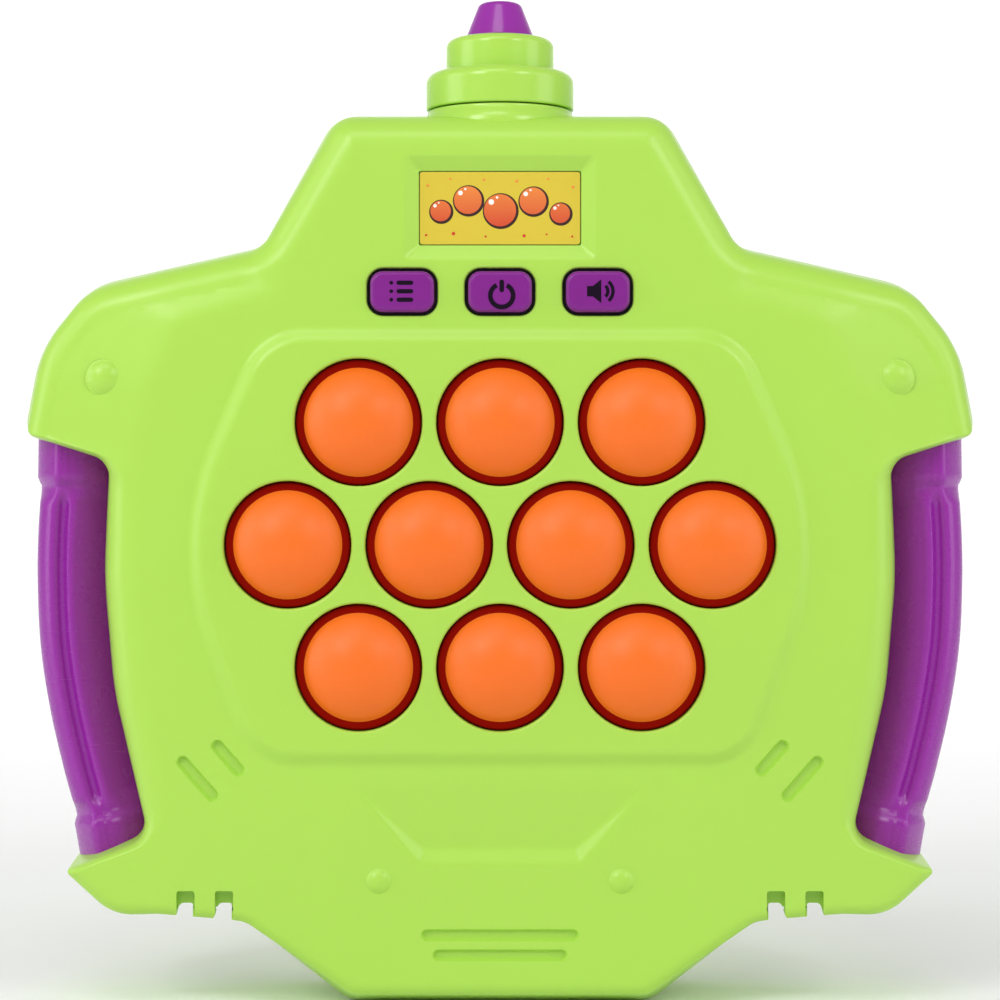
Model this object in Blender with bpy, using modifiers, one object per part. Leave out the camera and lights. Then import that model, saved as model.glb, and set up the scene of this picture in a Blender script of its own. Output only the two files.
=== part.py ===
"""Hand-held electronic bubble pop game, modelled as the parts it is assembled from.

Everything is drawn with the game lying on its back: X runs to the right, Y up the face
and Z out of the face, with Z zero half way through the game and Y zero at its bottom
edge. One empty then stands the game up, so in the world it faces -Y with +Z up.
All lengths are in metres.
"""

from math import acos, asin, atan2, cos, pi, radians, sin, tan

import bmesh
import bpy
from mathutils import Matrix, Vector

# Clearances, and how far a cutter runs past what it cuts
GAP = 0.0003
OVERRUN = 0.004
OVERLAP = 0.0008
MERGE = 0.00001

# Depths through the game, from the back to the front
REAR_DEPTH = 0.0170
FRONT_DEPTH = 0.0165
PAD_RISE = 0.0012
BUBBLE_RISE = 0.0033
GAME_DEPTH = REAR_DEPTH + FRONT_DEPTH + PAD_RISE + BUBBLE_RISE
BACK_Z = -GAME_DEPTH / 2
PARTING_Z = BACK_Z + REAR_DEPTH
FACE_Z = PARTING_Z + FRONT_DEPTH
PAD_Z = FACE_Z + PAD_RISE
BUBBLE_TOP_Z = PAD_Z + BUBBLE_RISE

# Case outline, wall and edges
BODY_WIDTH = 0.1711
BODY_HEIGHT = 0.1579
WALL = 0.0018
FRONT_EDGE_ROUND = 0.0050
REAR_EDGE_ROUND = 0.0030
EDGE_FLAT = 0.0004
TIGHTEST_ROUND = 0.0006
SHOULDER_DROP = 0.0025
EDGE_STEPS = 3
HALF_WIDTH = BODY_WIDTH / 2
WALL_BACK_Z = FACE_Z - WALL
REAR_INNER_Z = BACK_Z + WALL

# Case corners down the right side, top to bottom. Each row is the place as shares of the
# half width and the height, the corner's radius as a share of the half width, its arc
# points, the front edge's rounding as a share of FRONT_EDGE_ROUND, how far the flat face
# starts in from there as shares of half width and height, and the share of SHOULDER_DROP
# by which the face is lower at that corner.
CASE_CORNER_SHARES = (
    (0.345, 1.000, 0.074, 4, 1.00, 0.000, 0.000, 0.00),
    (0.499, 0.851, 0.050, 3, 0.90, 0.000, 0.000, 0.00),
    (0.884, 0.807, 0.132, 4, 0.70, -0.150, -0.014, 0.70),
    (1.000, 0.686, 0.270, 3, 0.60, -0.225, 0.010, 1.00),
    (1.000, 0.637, 0.028, 4, 0.48, -0.215, 0.012, 1.00),
    (0.823, 0.607, 0.024, 2, 0.70, -0.040, 0.008, 0.35),
    (0.834, 0.478, 0.900, 3, 0.90, 0.000, 0.000, 0.00),
    (0.813, 0.346, 0.700, 3, 0.90, 0.000, 0.000, 0.00),
    (0.745, 0.191, 0.020, 2, 0.80, 0.000, 0.000, 0.00),
    (0.889, 0.156, 0.028, 4, 0.45, 0.000, 0.000, 0.00),
    (0.878, 0.129, 0.058, 2, 0.50, 0.000, 0.000, 0.00),
    (0.816, 0.092, 0.028, 3, 0.40, 0.000, 0.000, 0.00),
    (0.737, 0.095, 0.058, 2, 0.40, 0.000, 0.000, 0.00),
    (0.559, 0.089, 0.035, 2, 0.40, 0.000, 0.000, 0.00),
    (0.529, 0.085, 0.035, 2, 0.40, 0.000, 0.000, 0.00),
    (0.310, 0.000, 0.082, 4, 0.40, 0.000, 0.000, 0.00),
)

# Bubbles: three rows, the middle one longer, on a triangular grid
BUBBLE_PITCH = 0.0246
BUBBLE_CENTRE_Y = 0.0811
BUBBLE_ROW_COUNTS = (3, 4, 3)
BUBBLE_RADIUS = 0.0096
BUBBLE_WALL = 0.0013
BUBBLE_HOLE_RADIUS = 0.0111
BUBBLE_STEM_RADIUS = 0.0020
BUBBLE_TRAVEL = 0.0040
BUBBLE_SEGMENTS = 18
BUBBLE_HOLE_SEGMENTS = 20
MAT_THICKNESS = 0.0012
MAT_MARGIN = 0.0030
MAT_TOP_Z = WALL_BACK_Z - GAP
MAT_BOTTOM_Z = MAT_TOP_Z - MAT_THICKNESS

# Raised pad round the bubbles: corners down the right side as shares of its half width
# and half height, with the corner's radius as a share of the half width and its points
PAD_WIDTH = 0.1058
PAD_HEIGHT = 0.0747
PAD_CENTRE_Y = 0.08065
PAD_BEVEL = 0.0025
PAD_CORNER_SHARES = (
    (0.834, 1.000, 0.135, 5),
    (1.000, 0.063, 0.550, 4),
    (0.786, -1.000, 0.155, 5),
)

# Window above the buttons, with its plate
PLATE_WIDTH = 0.0280
PLATE_HEIGHT = 0.0127
PLATE_THICKNESS = 0.0008
PLATE_CORNER = 0.0005
WINDOW_CENTRE_Y = 0.1398
WINDOW_BEVEL = 0.0026
WINDOW_BEVEL_DEPTH = 0.0014
WINDOW_BACKING = 0.0022
PLATE_TOP_Z = FACE_Z - WINDOW_BEVEL_DEPTH
PLATE_BOTTOM_Z = PLATE_TOP_Z - PLATE_THICKNESS

# Buttons and the switches under them
BUTTON_NAMES = ("menu", "power", "volume")
BUTTON_PITCH = 0.0170
BUTTON_CENTRE_Y = 0.1251
BUTTON_WIDTH = 0.0111
BUTTON_HEIGHT = 0.0071
BUTTON_CORNER = 0.0018
BUTTON_RISE = 0.0012
BUTTON_BEVEL = 0.0007
BUTTON_SIDE_GAP = 0.0006
BUTTON_FLANGE = 0.0012
BUTTON_FLANGE_THICKNESS = 0.0010
BUTTON_STEM_RADIUS = 0.0016
BUTTON_TRAVEL = 0.0006
SWITCH_SIDE = 0.0060
SWITCH_BODY_HEIGHT = 0.0035
SWITCH_PLUNGER_RADIUS = 0.0017
SWITCH_PLUNGER_HEIGHT = 0.0020

# Main board, its lights, its chip and its screws
BOARD_THICKNESS = 0.0016
BOARD_WIDTH = 0.1000
BOARD_HEIGHT = 0.0860
BOARD_CENTRE_Y = 0.0885
BOARD_CORNER = 0.0030
BOARD_SCREW_INSET_X = 0.0030
BOARD_SCREW_INSET_Y = 0.0045
BOARD_PILLAR_RADIUS = 0.0026
LED_WIDTH = 0.0030
LED_DEPTH = 0.0028
LED_HEIGHT = 0.0010
LED_OFFSET = 0.0060
CHIP_SIDE = 0.0090
CHIP_HEIGHT = 0.0012
CHIP_X = 0.0340
CHIP_Y = 0.0640
STEM_BOTTOM_Z = MAT_BOTTOM_Z - 0.0035
BOARD_TOP_Z = STEM_BOTTOM_Z - BUBBLE_TRAVEL - GAP
BOARD_BOTTOM_Z = BOARD_TOP_Z - BOARD_THICKNESS

# Screws
SCREW_RADIUS = 0.0013
SCREW_HEAD_RADIUS = 0.0025
SCREW_HEAD_HEIGHT = 0.0018
SCREW_SLOT_WIDTH = 0.0007
SCREW_SLOT_SHARE = 0.45
SCREW_SEGMENTS = 8
SCREW_HOLE_RADIUS = SCREW_RADIUS + GAP
SCREW_HEAD_HOLE_RADIUS = SCREW_HEAD_RADIUS + GAP

# Pillars that the case screws pull together
CASE_SCREW_PLACES_SHARES = ((0.340, 0.925), (0.655, 0.728), (0.655, 0.215))
CASE_PILLAR_RADIUS = 0.0033
CASE_SOCKET_WALL = 0.0014
CASE_JOINT_Z = BACK_Z + 0.0100
CASE_SCREW_SEAT = 0.0040
CASE_SCREW_LENGTH = 0.0130
PILLAR_SEGMENTS = 12

# Rivet-like domes on the face
SHOULDER_RIVET_RADIUS = 0.0030
SHOULDER_RIVET_HEIGHT = 0.0013
SHOULDER_RIVET_X = 0.0698
SHOULDER_RIVET_Y = 0.1103
SHOULDER_RIVET_SINK = 0.0017
CHIN_RIVET_RADIUS = 0.0022
CHIN_RIVET_HEIGHT = 0.0010
CHIN_RIVET_X = 0.0211
CHIN_RIVET_Y = 0.0226

# Chin: a scoop that deepens towards a step across the face
SCOOP_TOP_WIDTH = 0.0500
SCOOP_STEP_WIDTH = 0.0270
SCOOP_TOP_Y = 0.0366
SCOOP_STEP_Y = 0.0270
SCOOP_DEPTH = 0.0011
SCOOP_SLOPE = 0.0030

# Grooves and notches in the lower face
GROOVE_DEPTH = 0.0008
GROOVE_HEIGHT = 0.0019
LONG_GROOVE_LENGTH = 0.0273
LONG_GROOVE_Y = 0.0132
SHORT_GROOVE_LENGTH = 0.0233
SHORT_GROOVE_Y = 0.0097
SLANT_GROOVE_WIDTH = 0.0017
SLANT_GROOVE_ANGLE = radians(-48.6)
SLANT_GROOVE_LENGTHS = (0.0117, 0.0101)
SLANT_GROOVE_XS = (0.0526, 0.0472)
SLANT_GROOVE_YS = (0.0407, 0.0437)
NOTCH_WIDTH = 0.0032
NOTCH_XS = (0.0480, 0.0547)
NOTCH_TOP_Y = 0.0205
NOTCH_DEPTH = 0.0050

# Side grips
GRIP_HALF_WIDTH = 0.0055
GRIP_HALF_DEPTH = 0.0096
GRIP_COLLAR_SHARE = 1.12
GRIP_COLLAR_LENGTH = 0.0042
GRIP_COLLAR_STEP = 0.0006
GRIP_TENON_WIDTH = 0.0050
GRIP_TENON_DEPTH = 0.0080
GRIP_TENON_LENGTH = 0.0042
GRIP_PATH_SHARES = (
    (0.886, 0.640), (0.892, 0.572), (0.896, 0.530), (0.899, 0.472), (0.891, 0.403),
    (0.875, 0.335), (0.848, 0.267), (0.824, 0.221), (0.806, 0.166),
)
GRIP_SECTION_SHARES = (
    (1.00, 0.00), (1.00, 0.62), (0.84, 0.90), (0.50, 1.00), (0.26, 0.96), (0.16, 0.82),
    (0.04, 0.82), (-0.08, 0.95), (-0.24, 0.98), (-0.38, 0.92), (-0.46, 0.68),
    (-1.25, 0.58), (-1.25, -1.00), (0.64, -1.00), (1.00, -0.78),
)

# Crown: a two-step knob on the top edge, turned about the parting plane
CROWN_LOWER_RADIUS = 0.01325
CROWN_UPPER_RADIUS = 0.00965
CROWN_PLINTH_RISE = 0.0006
CROWN_LOWER_HEIGHT = 0.0076
CROWN_UPPER_HEIGHT = 0.0062
CROWN_EDGE_ROUND = 0.0014
CROWN_NECK_RADIUS = 0.0060
CROWN_FOOT_RADIUS = 0.0090
CROWN_FOOT_HEIGHT = 0.0020
CROWN_SEGMENTS = 28
TIP_BASE_RADIUS = 0.0058
TIP_TOP_RADIUS = 0.0030
TIP_HEIGHT = 0.0054
TIP_EDGE_ROUND = 0.0009
TIP_SPIGOT_RADIUS = 0.0028
TIP_SPIGOT_LENGTH = 0.0030

# Battery tub, door and cells
CELL_RADIUS = 0.00525
CELL_LENGTH = 0.0437
CELL_NUB_RADIUS = 0.0019
CELL_NUB_HEIGHT = 0.0008
CELL_PITCH = 0.0112
CELL_COUNT = 3
CELL_SEGMENTS = 16
TUB_CENTRE_Y = 0.0770
TUB_WALL = 0.0015
TUB_RIM = 0.0008
TUB_FOOT_RIM = 0.0040
TUB_HEAD_RIM = 0.0072
DOOR_THICKNESS = 0.0020
DOOR_CORNER = 0.0015
DOOR_TAB_WIDTH = 0.0060
DOOR_TAB_LENGTH = 0.0014
DOOR_TAB_THICKNESS = 0.0010
DOOR_TAB_X = 0.0110
DOOR_TAB_POCKET = 0.0018
DOOR_GRIP_WIDTH = 0.0120
DOOR_GRIP_HEIGHT = 0.0012
DOOR_GRIP_DEPTH = 0.0006
DOOR_SCREW_LENGTH = 0.0050
DOOR_SCREW_HEAD_HEIGHT = 0.0010
DOOR_SCREW_SWING = 0.0008
CONTACT_THICKNESS = 0.0005
CONTACT_SPRING_RADIUS = 0.0032
CONTACT_SPRING_TIP_RADIUS = 0.0020
CONTACT_MARGIN = 0.0014

# Speaker and its grille
SPEAKER_RADIUS = 0.0140
SPEAKER_RIM_HEIGHT = 0.0014
SPEAKER_BASKET_RADIUS = 0.0095
SPEAKER_BASKET_HEIGHT = 0.0036
SPEAKER_MAGNET_RADIUS = 0.0072
SPEAKER_MAGNET_HEIGHT = 0.0032
SPEAKER_CENTRE_Y = 0.0240
SPEAKER_SEGMENTS = 20
COLLAR_WALL = 0.0014
COLLAR_HEIGHT = 0.0030
GRILLE_SLOT_HEIGHT = 0.0015
GRILLE_PITCH = 0.0034
GRILLE_SLOT_LENGTHS = (0.0110, 0.0170, 0.0190, 0.0170, 0.0110)
BOARD_SCREW_LENGTH = 0.0070
SCREW_TIP_SHARE = 0.40
SCREW_RIM_SHARE = 0.45
SCREW_CROWN_SHARE = 0.72
CONTACT_SPRING_LENGTH = 0.0022
DOOR_RIB_COUNT = 3
DOOR_RIB_START = 0.0060
DOOR_RIB_PITCH = 0.0022
GRIP_HEAD_TENON_SHARES = (0.884, 0.618)
GRIP_FOOT_TENON_SHARES = (0.812, 0.173)
CHAIN_REACH_SHARE = 0.48

# Colours as red, green and blue shares on a screen
GREEN_SHARES = (0.70, 0.90, 0.34)
PURPLE_SHARES = (0.58, 0.25, 0.63)
TIP_PURPLE_SHARES = (0.58, 0.21, 0.63)
ORANGE_SHARES = (0.99, 0.48, 0.15)
MAT_SHARES = (0.43, 0.09, 0.01)
YELLOW_SHARES = (0.85, 0.77, 0.23)
BOARD_SHARES = (0.05, 0.30, 0.14)
CHIP_SHARES = (0.06, 0.06, 0.07)
STEEL_SHARES = (0.72, 0.72, 0.74)
LED_SHARES = (0.93, 0.93, 0.88)
CELL_SHARES = (0.16, 0.17, 0.20)
SPEAKER_SHARES = (0.12, 0.12, 0.13)

# Screen colour to linear light
GAMMA = 2.2

parts = bpy.data.collections.new("bubble_pop_game")
tools = bpy.data.collections.new("cutters")
stand = bpy.data.objects.new("stand", None)


def clear_scene():
    """Remove every object, then set up the collections and the stand."""
    for item in list(bpy.data.objects):
        if item is not stand:
            bpy.data.objects.remove(item, do_unlink=True)
    for group in (parts, tools):
        bpy.context.scene.collection.children.link(group)
    parts.objects.link(stand)
    stand.rotation_euler = (pi / 2, 0, 0)


def plastic(name, shares, roughness, metallic=0.0):
    """Principled material from a screen colour."""
    material = bpy.data.materials.new(name)
    material.use_nodes = True
    shader = material.node_tree.nodes["Principled BSDF"]
    colour = [share ** GAMMA for share in shares]
    shader.inputs["Base Color"].default_value = (*colour, 1.0)
    shader.inputs["Roughness"].default_value = roughness
    shader.inputs["Metallic"].default_value = metallic
    material.diffuse_color = (*colour, 1.0)
    return material


def place(name, mesh, material, location=(0, 0, 0)):
    """A finished part, standing with the rest of the game."""
    item = bpy.data.objects.new(name, mesh)
    parts.objects.link(item)
    item.parent = stand
    item.location = location
    if not mesh.materials:
        mesh.materials.append(material)
    mesh.shade_smooth()
    mesh.set_sharp_from_angle(angle=radians(32))
    return item


def tool(name, mesh):
    """A hidden shape that is cut from or joined to a part."""
    item = bpy.data.objects.new(name, mesh)
    tools.objects.link(item)
    item.parent = stand
    item.hide_render = True
    item.display_type = "WIRE"
    return item


def combine(item, operation, shapes):
    """Add one exact Boolean to a part for each hidden shape."""
    for shape in shapes:
        modifier = item.modifiers.new(shape.name, "BOOLEAN")
        modifier.operation = operation
        modifier.solver = "EXACT"
        modifier.object = shape


def weld(mesh):
    """Merge touching points and turn every face outwards."""
    shape = bmesh.new()
    shape.from_mesh(mesh)
    bmesh.ops.remove_doubles(shape, verts=shape.verts, dist=MERGE)
    bmesh.ops.recalc_face_normals(shape, faces=shape.faces)
    shape.to_mesh(mesh)
    shape.free()
    return mesh


def baked(item):
    """Welded mesh of an object as its modifiers leave it. The object is removed."""
    bpy.context.view_layer.update()
    graph = bpy.context.evaluated_depsgraph_get()
    mesh = bpy.data.meshes.new_from_object(item.evaluated_get(graph))
    bpy.data.objects.remove(item, do_unlink=True)
    return weld(mesh)


def merged(first, *others, operation="UNION"):
    """One mesh made from several by exact Booleans."""
    base = bpy.data.objects.new("merged", first)
    tools.objects.link(base)
    helpers = []
    for mesh in others:
        helper = bpy.data.objects.new("helper", mesh)
        tools.objects.link(helper)
        helpers.append(helper)
    combine(base, operation, helpers)
    mesh = baked(base)
    for helper in helpers:
        bpy.data.objects.remove(helper, do_unlink=True)
    return mesh


def corner_arc(before, here, after, radius, count):
    """Points of the arc that rounds a corner, limited by the sides that meet there."""
    corner = Vector(here)
    back = Vector(before) - corner
    ahead = Vector(after) - corner
    half_angle = back.angle(ahead) / 2
    longest = min(back.length, ahead.length) * CHAIN_REACH_SHARE
    reach = min(radius / tan(half_angle), longest)
    inwards = (back.normalized() + ahead.normalized()).normalized()
    centre = corner + inwards * reach / cos(half_angle)
    start = corner + back.normalized() * reach - centre
    end = corner + ahead.normalized() * reach - centre
    sweep = (atan2(end.y, end.x) - atan2(start.y, start.x) + pi) % (2 * pi) - pi
    points = []
    for step in range(count):
        turn = Matrix.Rotation(sweep * step / (count - 1), 2)
        points.append(tuple(centre + turn @ start))
    return points


def closed_outline(corners):
    """Rounded outline through a closed list of corners."""
    points = []
    for index, (x, y, radius, count) in enumerate(corners):
        before = corners[index - 1][:2]
        after = corners[(index + 1) % len(corners)][:2]
        points += corner_arc(before, (x, y), after, radius, count)
    return points


def rounded_rectangle(width, height, radius, centre=(0, 0), count=4):
    """Outline of a rectangle with rounded corners."""
    corners = []
    for x_sign, y_sign in ((1, 1), (1, -1), (-1, -1), (-1, 1)):
        x = centre[0] + x_sign * width / 2
        y = centre[1] + y_sign * height / 2
        corners.append((x, y, radius, count))
    return closed_outline(corners)


def rectangle(width, height, centre=(0, 0)):
    """Outline of a plain rectangle."""
    points = []
    for x_sign, y_sign in ((1, 1), (1, -1), (-1, -1), (-1, 1)):
        points.append((centre[0] + x_sign * width / 2, centre[1] + y_sign * height / 2))
    return points


def circle(radius, centre=(0, 0), count=24, sweep=2 * pi, start=0.0):
    """Outline of a circle, or of a part of one when the sweep is less."""
    whole = abs(sweep - 2 * pi) < MERGE
    steps = count if whole else count - 1
    points = []
    for step in range(count):
        angle = start + sweep * step / steps
        points.append((centre[0] + radius * cos(angle), centre[1] + radius * sin(angle)))
    return points


def slot(length, width, centre, angle=0.0, count=6):
    """Outline of a slot with round ends."""
    points = []
    half_run = (length - width) / 2
    for side in (0, 1):
        middle = half_run if side == 0 else -half_run
        for x, y in circle(width / 2, (middle, 0), count, pi, side * pi - pi / 2):
            across = x * cos(angle) - y * sin(angle)
            along = x * sin(angle) + y * cos(angle)
            points.append((centre[0] + across, centre[1] + along))
    return points


def drawn_in(corners, insets):
    """Right-hand corners moved inwards, top to bottom, with radii to suit."""
    chain = side_chain(corners)
    moved = []
    for index, (corner, inset) in enumerate(zip(corners, insets)):
        before, here, after = (Vector(point) for point in chain[index:index + 3])
        enter = (here - before).normalized()
        leave = (after - here).normalized()
        first = Vector((enter.y, -enter.x))
        second = Vector((leave.y, -leave.x))
        mitre = (first + second) / (1 + first.dot(second))
        outward = enter.x * leave.y - enter.y * leave.x < 0
        radius = corner[2] - inset if outward else corner[2] + inset
        x, y = here + mitre * inset
        moved.append((x, y, max(radius, TIGHTEST_ROUND), corner[3]))
    return moved


def side_chain(corners):
    """Right-hand corners with the mirror image of each end one added."""
    first, last = corners[0], corners[-1]
    inner = [corner[:2] for corner in corners]
    return [(-first[0], first[1])] + inner + [(-last[0], last[1])]


def side_points(corners):
    """Right half of an outline, from its top middle to its bottom middle."""
    chain = side_chain(corners)
    points = [(0, corners[0][1])]
    for index, corner in enumerate(corners):
        before, here, after = chain[index:index + 3]
        points += corner_arc(before, here, after, corner[2], corner[3])
    points.append((0, corners[-1][1]))
    return points


def whole_outline(corners):
    """Closed outline from its right-hand corners."""
    points = side_points(corners)
    return points + [(-x, y) for x, y in reversed(points[1:-1])]


def slab(outlines, low, high):
    """Flat outlines, holes included, extruded between two heights."""
    curve = bpy.data.curves.new("outline", "CURVE")
    curve.dimensions = "2D"
    curve.fill_mode = "BOTH"
    curve.extrude = (high - low) / 2
    for outline in outlines:
        spline = curve.splines.new("POLY")
        spline.points.add(len(outline) - 1)
        spline.use_cyclic_u = True
        for point, (x, y) in zip(spline.points, outline):
            point.co = (x, y, 0, 1)
    item = bpy.data.objects.new("outline", curve)
    tools.objects.link(item)
    mesh = baked(item)
    bpy.data.curves.remove(curve)
    mesh.transform(Matrix.Translation((0, 0, (high + low) / 2)))
    return mesh


def loft(rings):
    """Closed skin through rings of as many points each, with flat ends."""
    shape = bmesh.new()
    loops = [[shape.verts.new(point) for point in ring] for ring in rings]
    for lower, upper in zip(loops, loops[1:]):
        for index, point in enumerate(lower):
            following = (index + 1) % len(lower)
            shape.faces.new((point, lower[following], upper[following], upper[index]))
    shape.faces.new(loops[0])
    shape.faces.new(loops[-1])
    bmesh.ops.recalc_face_normals(shape, faces=shape.faces)
    mesh = bpy.data.meshes.new("loft")
    shape.to_mesh(mesh)
    shape.free()
    return mesh


def level(outline, height):
    """Outline lifted to a height."""
    return [(x, y, height) for x, y in outline]


def turned(profile, segments):
    """Solid turned about Z from a profile that starts and ends on the axis."""
    mesh = bpy.data.meshes.new("profile")
    points = [(radius, 0, height) for radius, height in profile]
    mesh.from_pydata(points, [(i, i + 1) for i in range(len(points) - 1)], [])
    item = bpy.data.objects.new("profile", mesh)
    tools.objects.link(item)
    screw = item.modifiers.new("turn", "SCREW")
    screw.steps = segments
    screw.render_steps = segments
    screw.use_merge_vertices = True
    screw.merge_threshold = MERGE
    return baked(item)


def box(size, centre):
    """Plain box."""
    shape = bmesh.new()
    bmesh.ops.create_cube(shape, size=1.0, matrix=Matrix.Diagonal((*size, 1.0)))
    mesh = bpy.data.meshes.new("box")
    shape.to_mesh(mesh)
    shape.free()
    mesh.transform(Matrix.Translation(centre))
    return mesh


def upright(mesh, location=(0, 0, 0)):
    """Turn a mesh made about Z so that its Z runs up the face, then move it."""
    mesh.transform(Matrix.Translation(location) @ Matrix.Rotation(-pi / 2, 4, "X"))
    return mesh


def both_sides(places):
    """Places on the right with their mirror images."""
    return [(sign * x, y) for x, y in places for sign in (1, -1)]


def arc_profile(centre, radius, start, end, steps):
    """Points of a turned profile along an arc, from one angle to another."""
    points = []
    for step in range(steps + 1):
        angle = start + (end - start) * step / steps
        points.append((centre[0] + radius * cos(angle), centre[1] + radius * sin(angle)))
    return points


def case_corners():
    """Corners of the case down its right side."""
    corners = []
    for x, y, radius, count, *_ in CASE_CORNER_SHARES:
        corners.append((x * HALF_WIDTH, y * BODY_HEIGHT, radius * HALF_WIDTH, count))
    return corners


def case_half_ring(insets, heights, shifts=None):
    """Right half of the case outline, drawn in and lifted corner by corner."""
    corners = drawn_in(case_corners(), insets)
    if shifts:
        moved = []
        for (x, y, radius, count), (along, up) in zip(corners, shifts):
            moved.append((x + along * HALF_WIDTH, y + up * BODY_HEIGHT, radius, count))
        corners = moved
    lifts = [heights[0]]
    for corner, height in zip(corners, heights):
        lifts += [height] * corner[3]
    lifts.append(heights[-1])
    return [(x, y, z) for (x, y), z in zip(side_points(corners), lifts)]


def shell(name, rings, material, reverse):
    """Moulded half of the case: a half skin, mirrored and given its wall."""
    shape = bmesh.new()
    loops = [[shape.verts.new(point) for point in ring] for ring in rings]
    faces = []
    for lower, upper in zip(loops, loops[1:]):
        for index in range(len(lower) - 1):
            following = index + 1
            corners = (lower[index], upper[index], upper[following], lower[following])
            faces.append(shape.faces.new(corners))
    faces.append(shape.faces.new(reversed(loops[-1])))
    if reverse:
        bmesh.ops.reverse_faces(shape, faces=faces)
    mesh = bpy.data.meshes.new(name)
    shape.to_mesh(mesh)
    shape.free()
    item = place(name, mesh, material)
    mirror = item.modifiers.new("other side", "MIRROR")
    mirror.merge_threshold = MERGE
    wall = item.modifiers.new("wall", "SOLIDIFY")
    wall.thickness = WALL
    wall.offset = -1
    wall.use_even_offset = True
    return item


def front_rings():
    """Rings of the front half: wall, rounded edge and the start of the flat face."""
    rounds = [row[4] * FRONT_EDGE_ROUND for row in CASE_CORNER_SHARES]
    tops = [FACE_Z - row[7] * SHOULDER_DROP for row in CASE_CORNER_SHARES]
    none = [0.0] * len(rounds)
    rings = [case_half_ring(none, [PARTING_Z + GAP / 2] * len(rounds))]
    for step in range(EDGE_STEPS + 1):
        angle = pi / 2 * step / EDGE_STEPS
        insets = [size * (1 - cos(angle)) for size in rounds]
        heights = [top - size * (1 - sin(angle)) for top, size in zip(tops, rounds)]
        rings.append(case_half_ring(insets, heights))
    insets = [size + EDGE_FLAT for size in rounds]
    shifts = [(row[5], row[6]) for row in CASE_CORNER_SHARES]
    rings.append(case_half_ring(insets, [FACE_Z] * len(rounds), shifts))
    return rings


def rear_rings():
    """Rings of the rear half: wall and an even rounded edge."""
    count = len(CASE_CORNER_SHARES)
    rings = [case_half_ring([0.0] * count, [PARTING_Z - GAP / 2] * count)]
    for step in range(EDGE_STEPS + 1):
        angle = pi / 2 * step / EDGE_STEPS
        inset = REAR_EDGE_ROUND * (1 - cos(angle))
        height = BACK_Z + REAR_EDGE_ROUND * (1 - sin(angle))
        rings.append(case_half_ring([inset] * count, [height] * count))
    return rings


def bubble_places():
    """Centres of the bubbles, row by row from the top."""
    row_pitch = BUBBLE_PITCH * sin(pi / 3)
    places = []
    for row, count in enumerate(BUBBLE_ROW_COUNTS):
        y = BUBBLE_CENTRE_Y + row_pitch * (1 - row)
        for column in range(count):
            places.append((BUBBLE_PITCH * (column - (count - 1) / 2), y))
    return places


def button_places():
    """Centres of the buttons, left to right."""
    middle = (len(BUTTON_NAMES) - 1) / 2
    return [(BUTTON_PITCH * (i - middle), BUTTON_CENTRE_Y) for i in range(len(BUTTON_NAMES))]


def case_screw_places():
    """Centres of the case screws."""
    shares = CASE_SCREW_PLACES_SHARES
    return both_sides([(x * HALF_WIDTH, y * BODY_HEIGHT) for x, y in shares])


def board_screw_places():
    """Centres of the main board's screws."""
    x = BOARD_WIDTH / 2 - BOARD_SCREW_INSET_X
    reach = BOARD_HEIGHT / 2 - BOARD_SCREW_INSET_Y
    return both_sides([(x, BOARD_CENTRE_Y + reach), (x, BOARD_CENTRE_Y - reach)])


def pad_corners():
    """Corners of the raised pad down its right side."""
    corners = []
    for x, y, radius, count in PAD_CORNER_SHARES:
        across = x * PAD_WIDTH / 2
        up = PAD_CENTRE_Y + y * PAD_HEIGHT / 2
        corners.append((across, up, radius * PAD_WIDTH / 2, count))
    return corners


def pad_outline(inset):
    """Outline of the raised pad, drawn in by an inset."""
    corners = pad_corners()
    return whole_outline(drawn_in(corners, [inset] * len(corners)))


def pillars(name, places, radius, low, high, segments=PILLAR_SEGMENTS):
    """Hidden round posts or holes at several places."""
    outlines = [circle(radius, centre, segments) for centre in places]
    return tool(name, slab(outlines, low, high))


def rivet(radius, height, sink):
    """Shallow dome with a short root that runs into the face."""
    ball = (radius ** 2 + height ** 2) / (2 * height)
    start = asin((ball - height) / ball)
    profile = arc_profile((0, height - ball), ball, pi / 2, start, EDGE_STEPS)
    return turned(profile + [(radius, -sink), (0, -sink)], PILLAR_SEGMENTS)


def rivets():
    """The four domes on the face."""
    shapes = []
    kinds = (
        ("shoulder", SHOULDER_RIVET_RADIUS, SHOULDER_RIVET_HEIGHT, SHOULDER_RIVET_X,
         SHOULDER_RIVET_Y, SHOULDER_RIVET_SINK),
        ("chin", CHIN_RIVET_RADIUS, CHIN_RIVET_HEIGHT, CHIN_RIVET_X, CHIN_RIVET_Y, 0.0),
    )
    for kind, radius, height, x, y, sink in kinds:
        for side, across in (("right", x), ("left", -x)):
            mesh = rivet(radius, height, OVERLAP)
            mesh.transform(Matrix.Translation((across, y, FACE_Z - sink)))
            shapes.append(tool(f"{kind}_rivet_{side}", mesh))
    return shapes


def scoop_tool():
    """Cutter for the scoop above the chin, deepest at the step."""
    def ring(spread, top_z, step_z):
        top = SCOOP_TOP_WIDTH / 2 + spread
        step = SCOOP_STEP_WIDTH / 2 + spread
        return [
            (-top, SCOOP_TOP_Y, top_z), (top, SCOOP_TOP_Y, top_z),
            (step, SCOOP_STEP_Y - spread, step_z), (-step, SCOOP_STEP_Y - spread, step_z),
        ]
    floor = ring(0.0, FACE_Z + SCOOP_DEPTH / 4, FACE_Z - SCOOP_DEPTH)
    brim = ring(SCOOP_SLOPE, FACE_Z + SCOOP_DEPTH / 2, FACE_Z + SCOOP_DEPTH / 2)
    lid = ring(SCOOP_SLOPE, FACE_Z + OVERRUN, FACE_Z + OVERRUN)
    return tool("scoop", loft((floor, brim, lid)))


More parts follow.
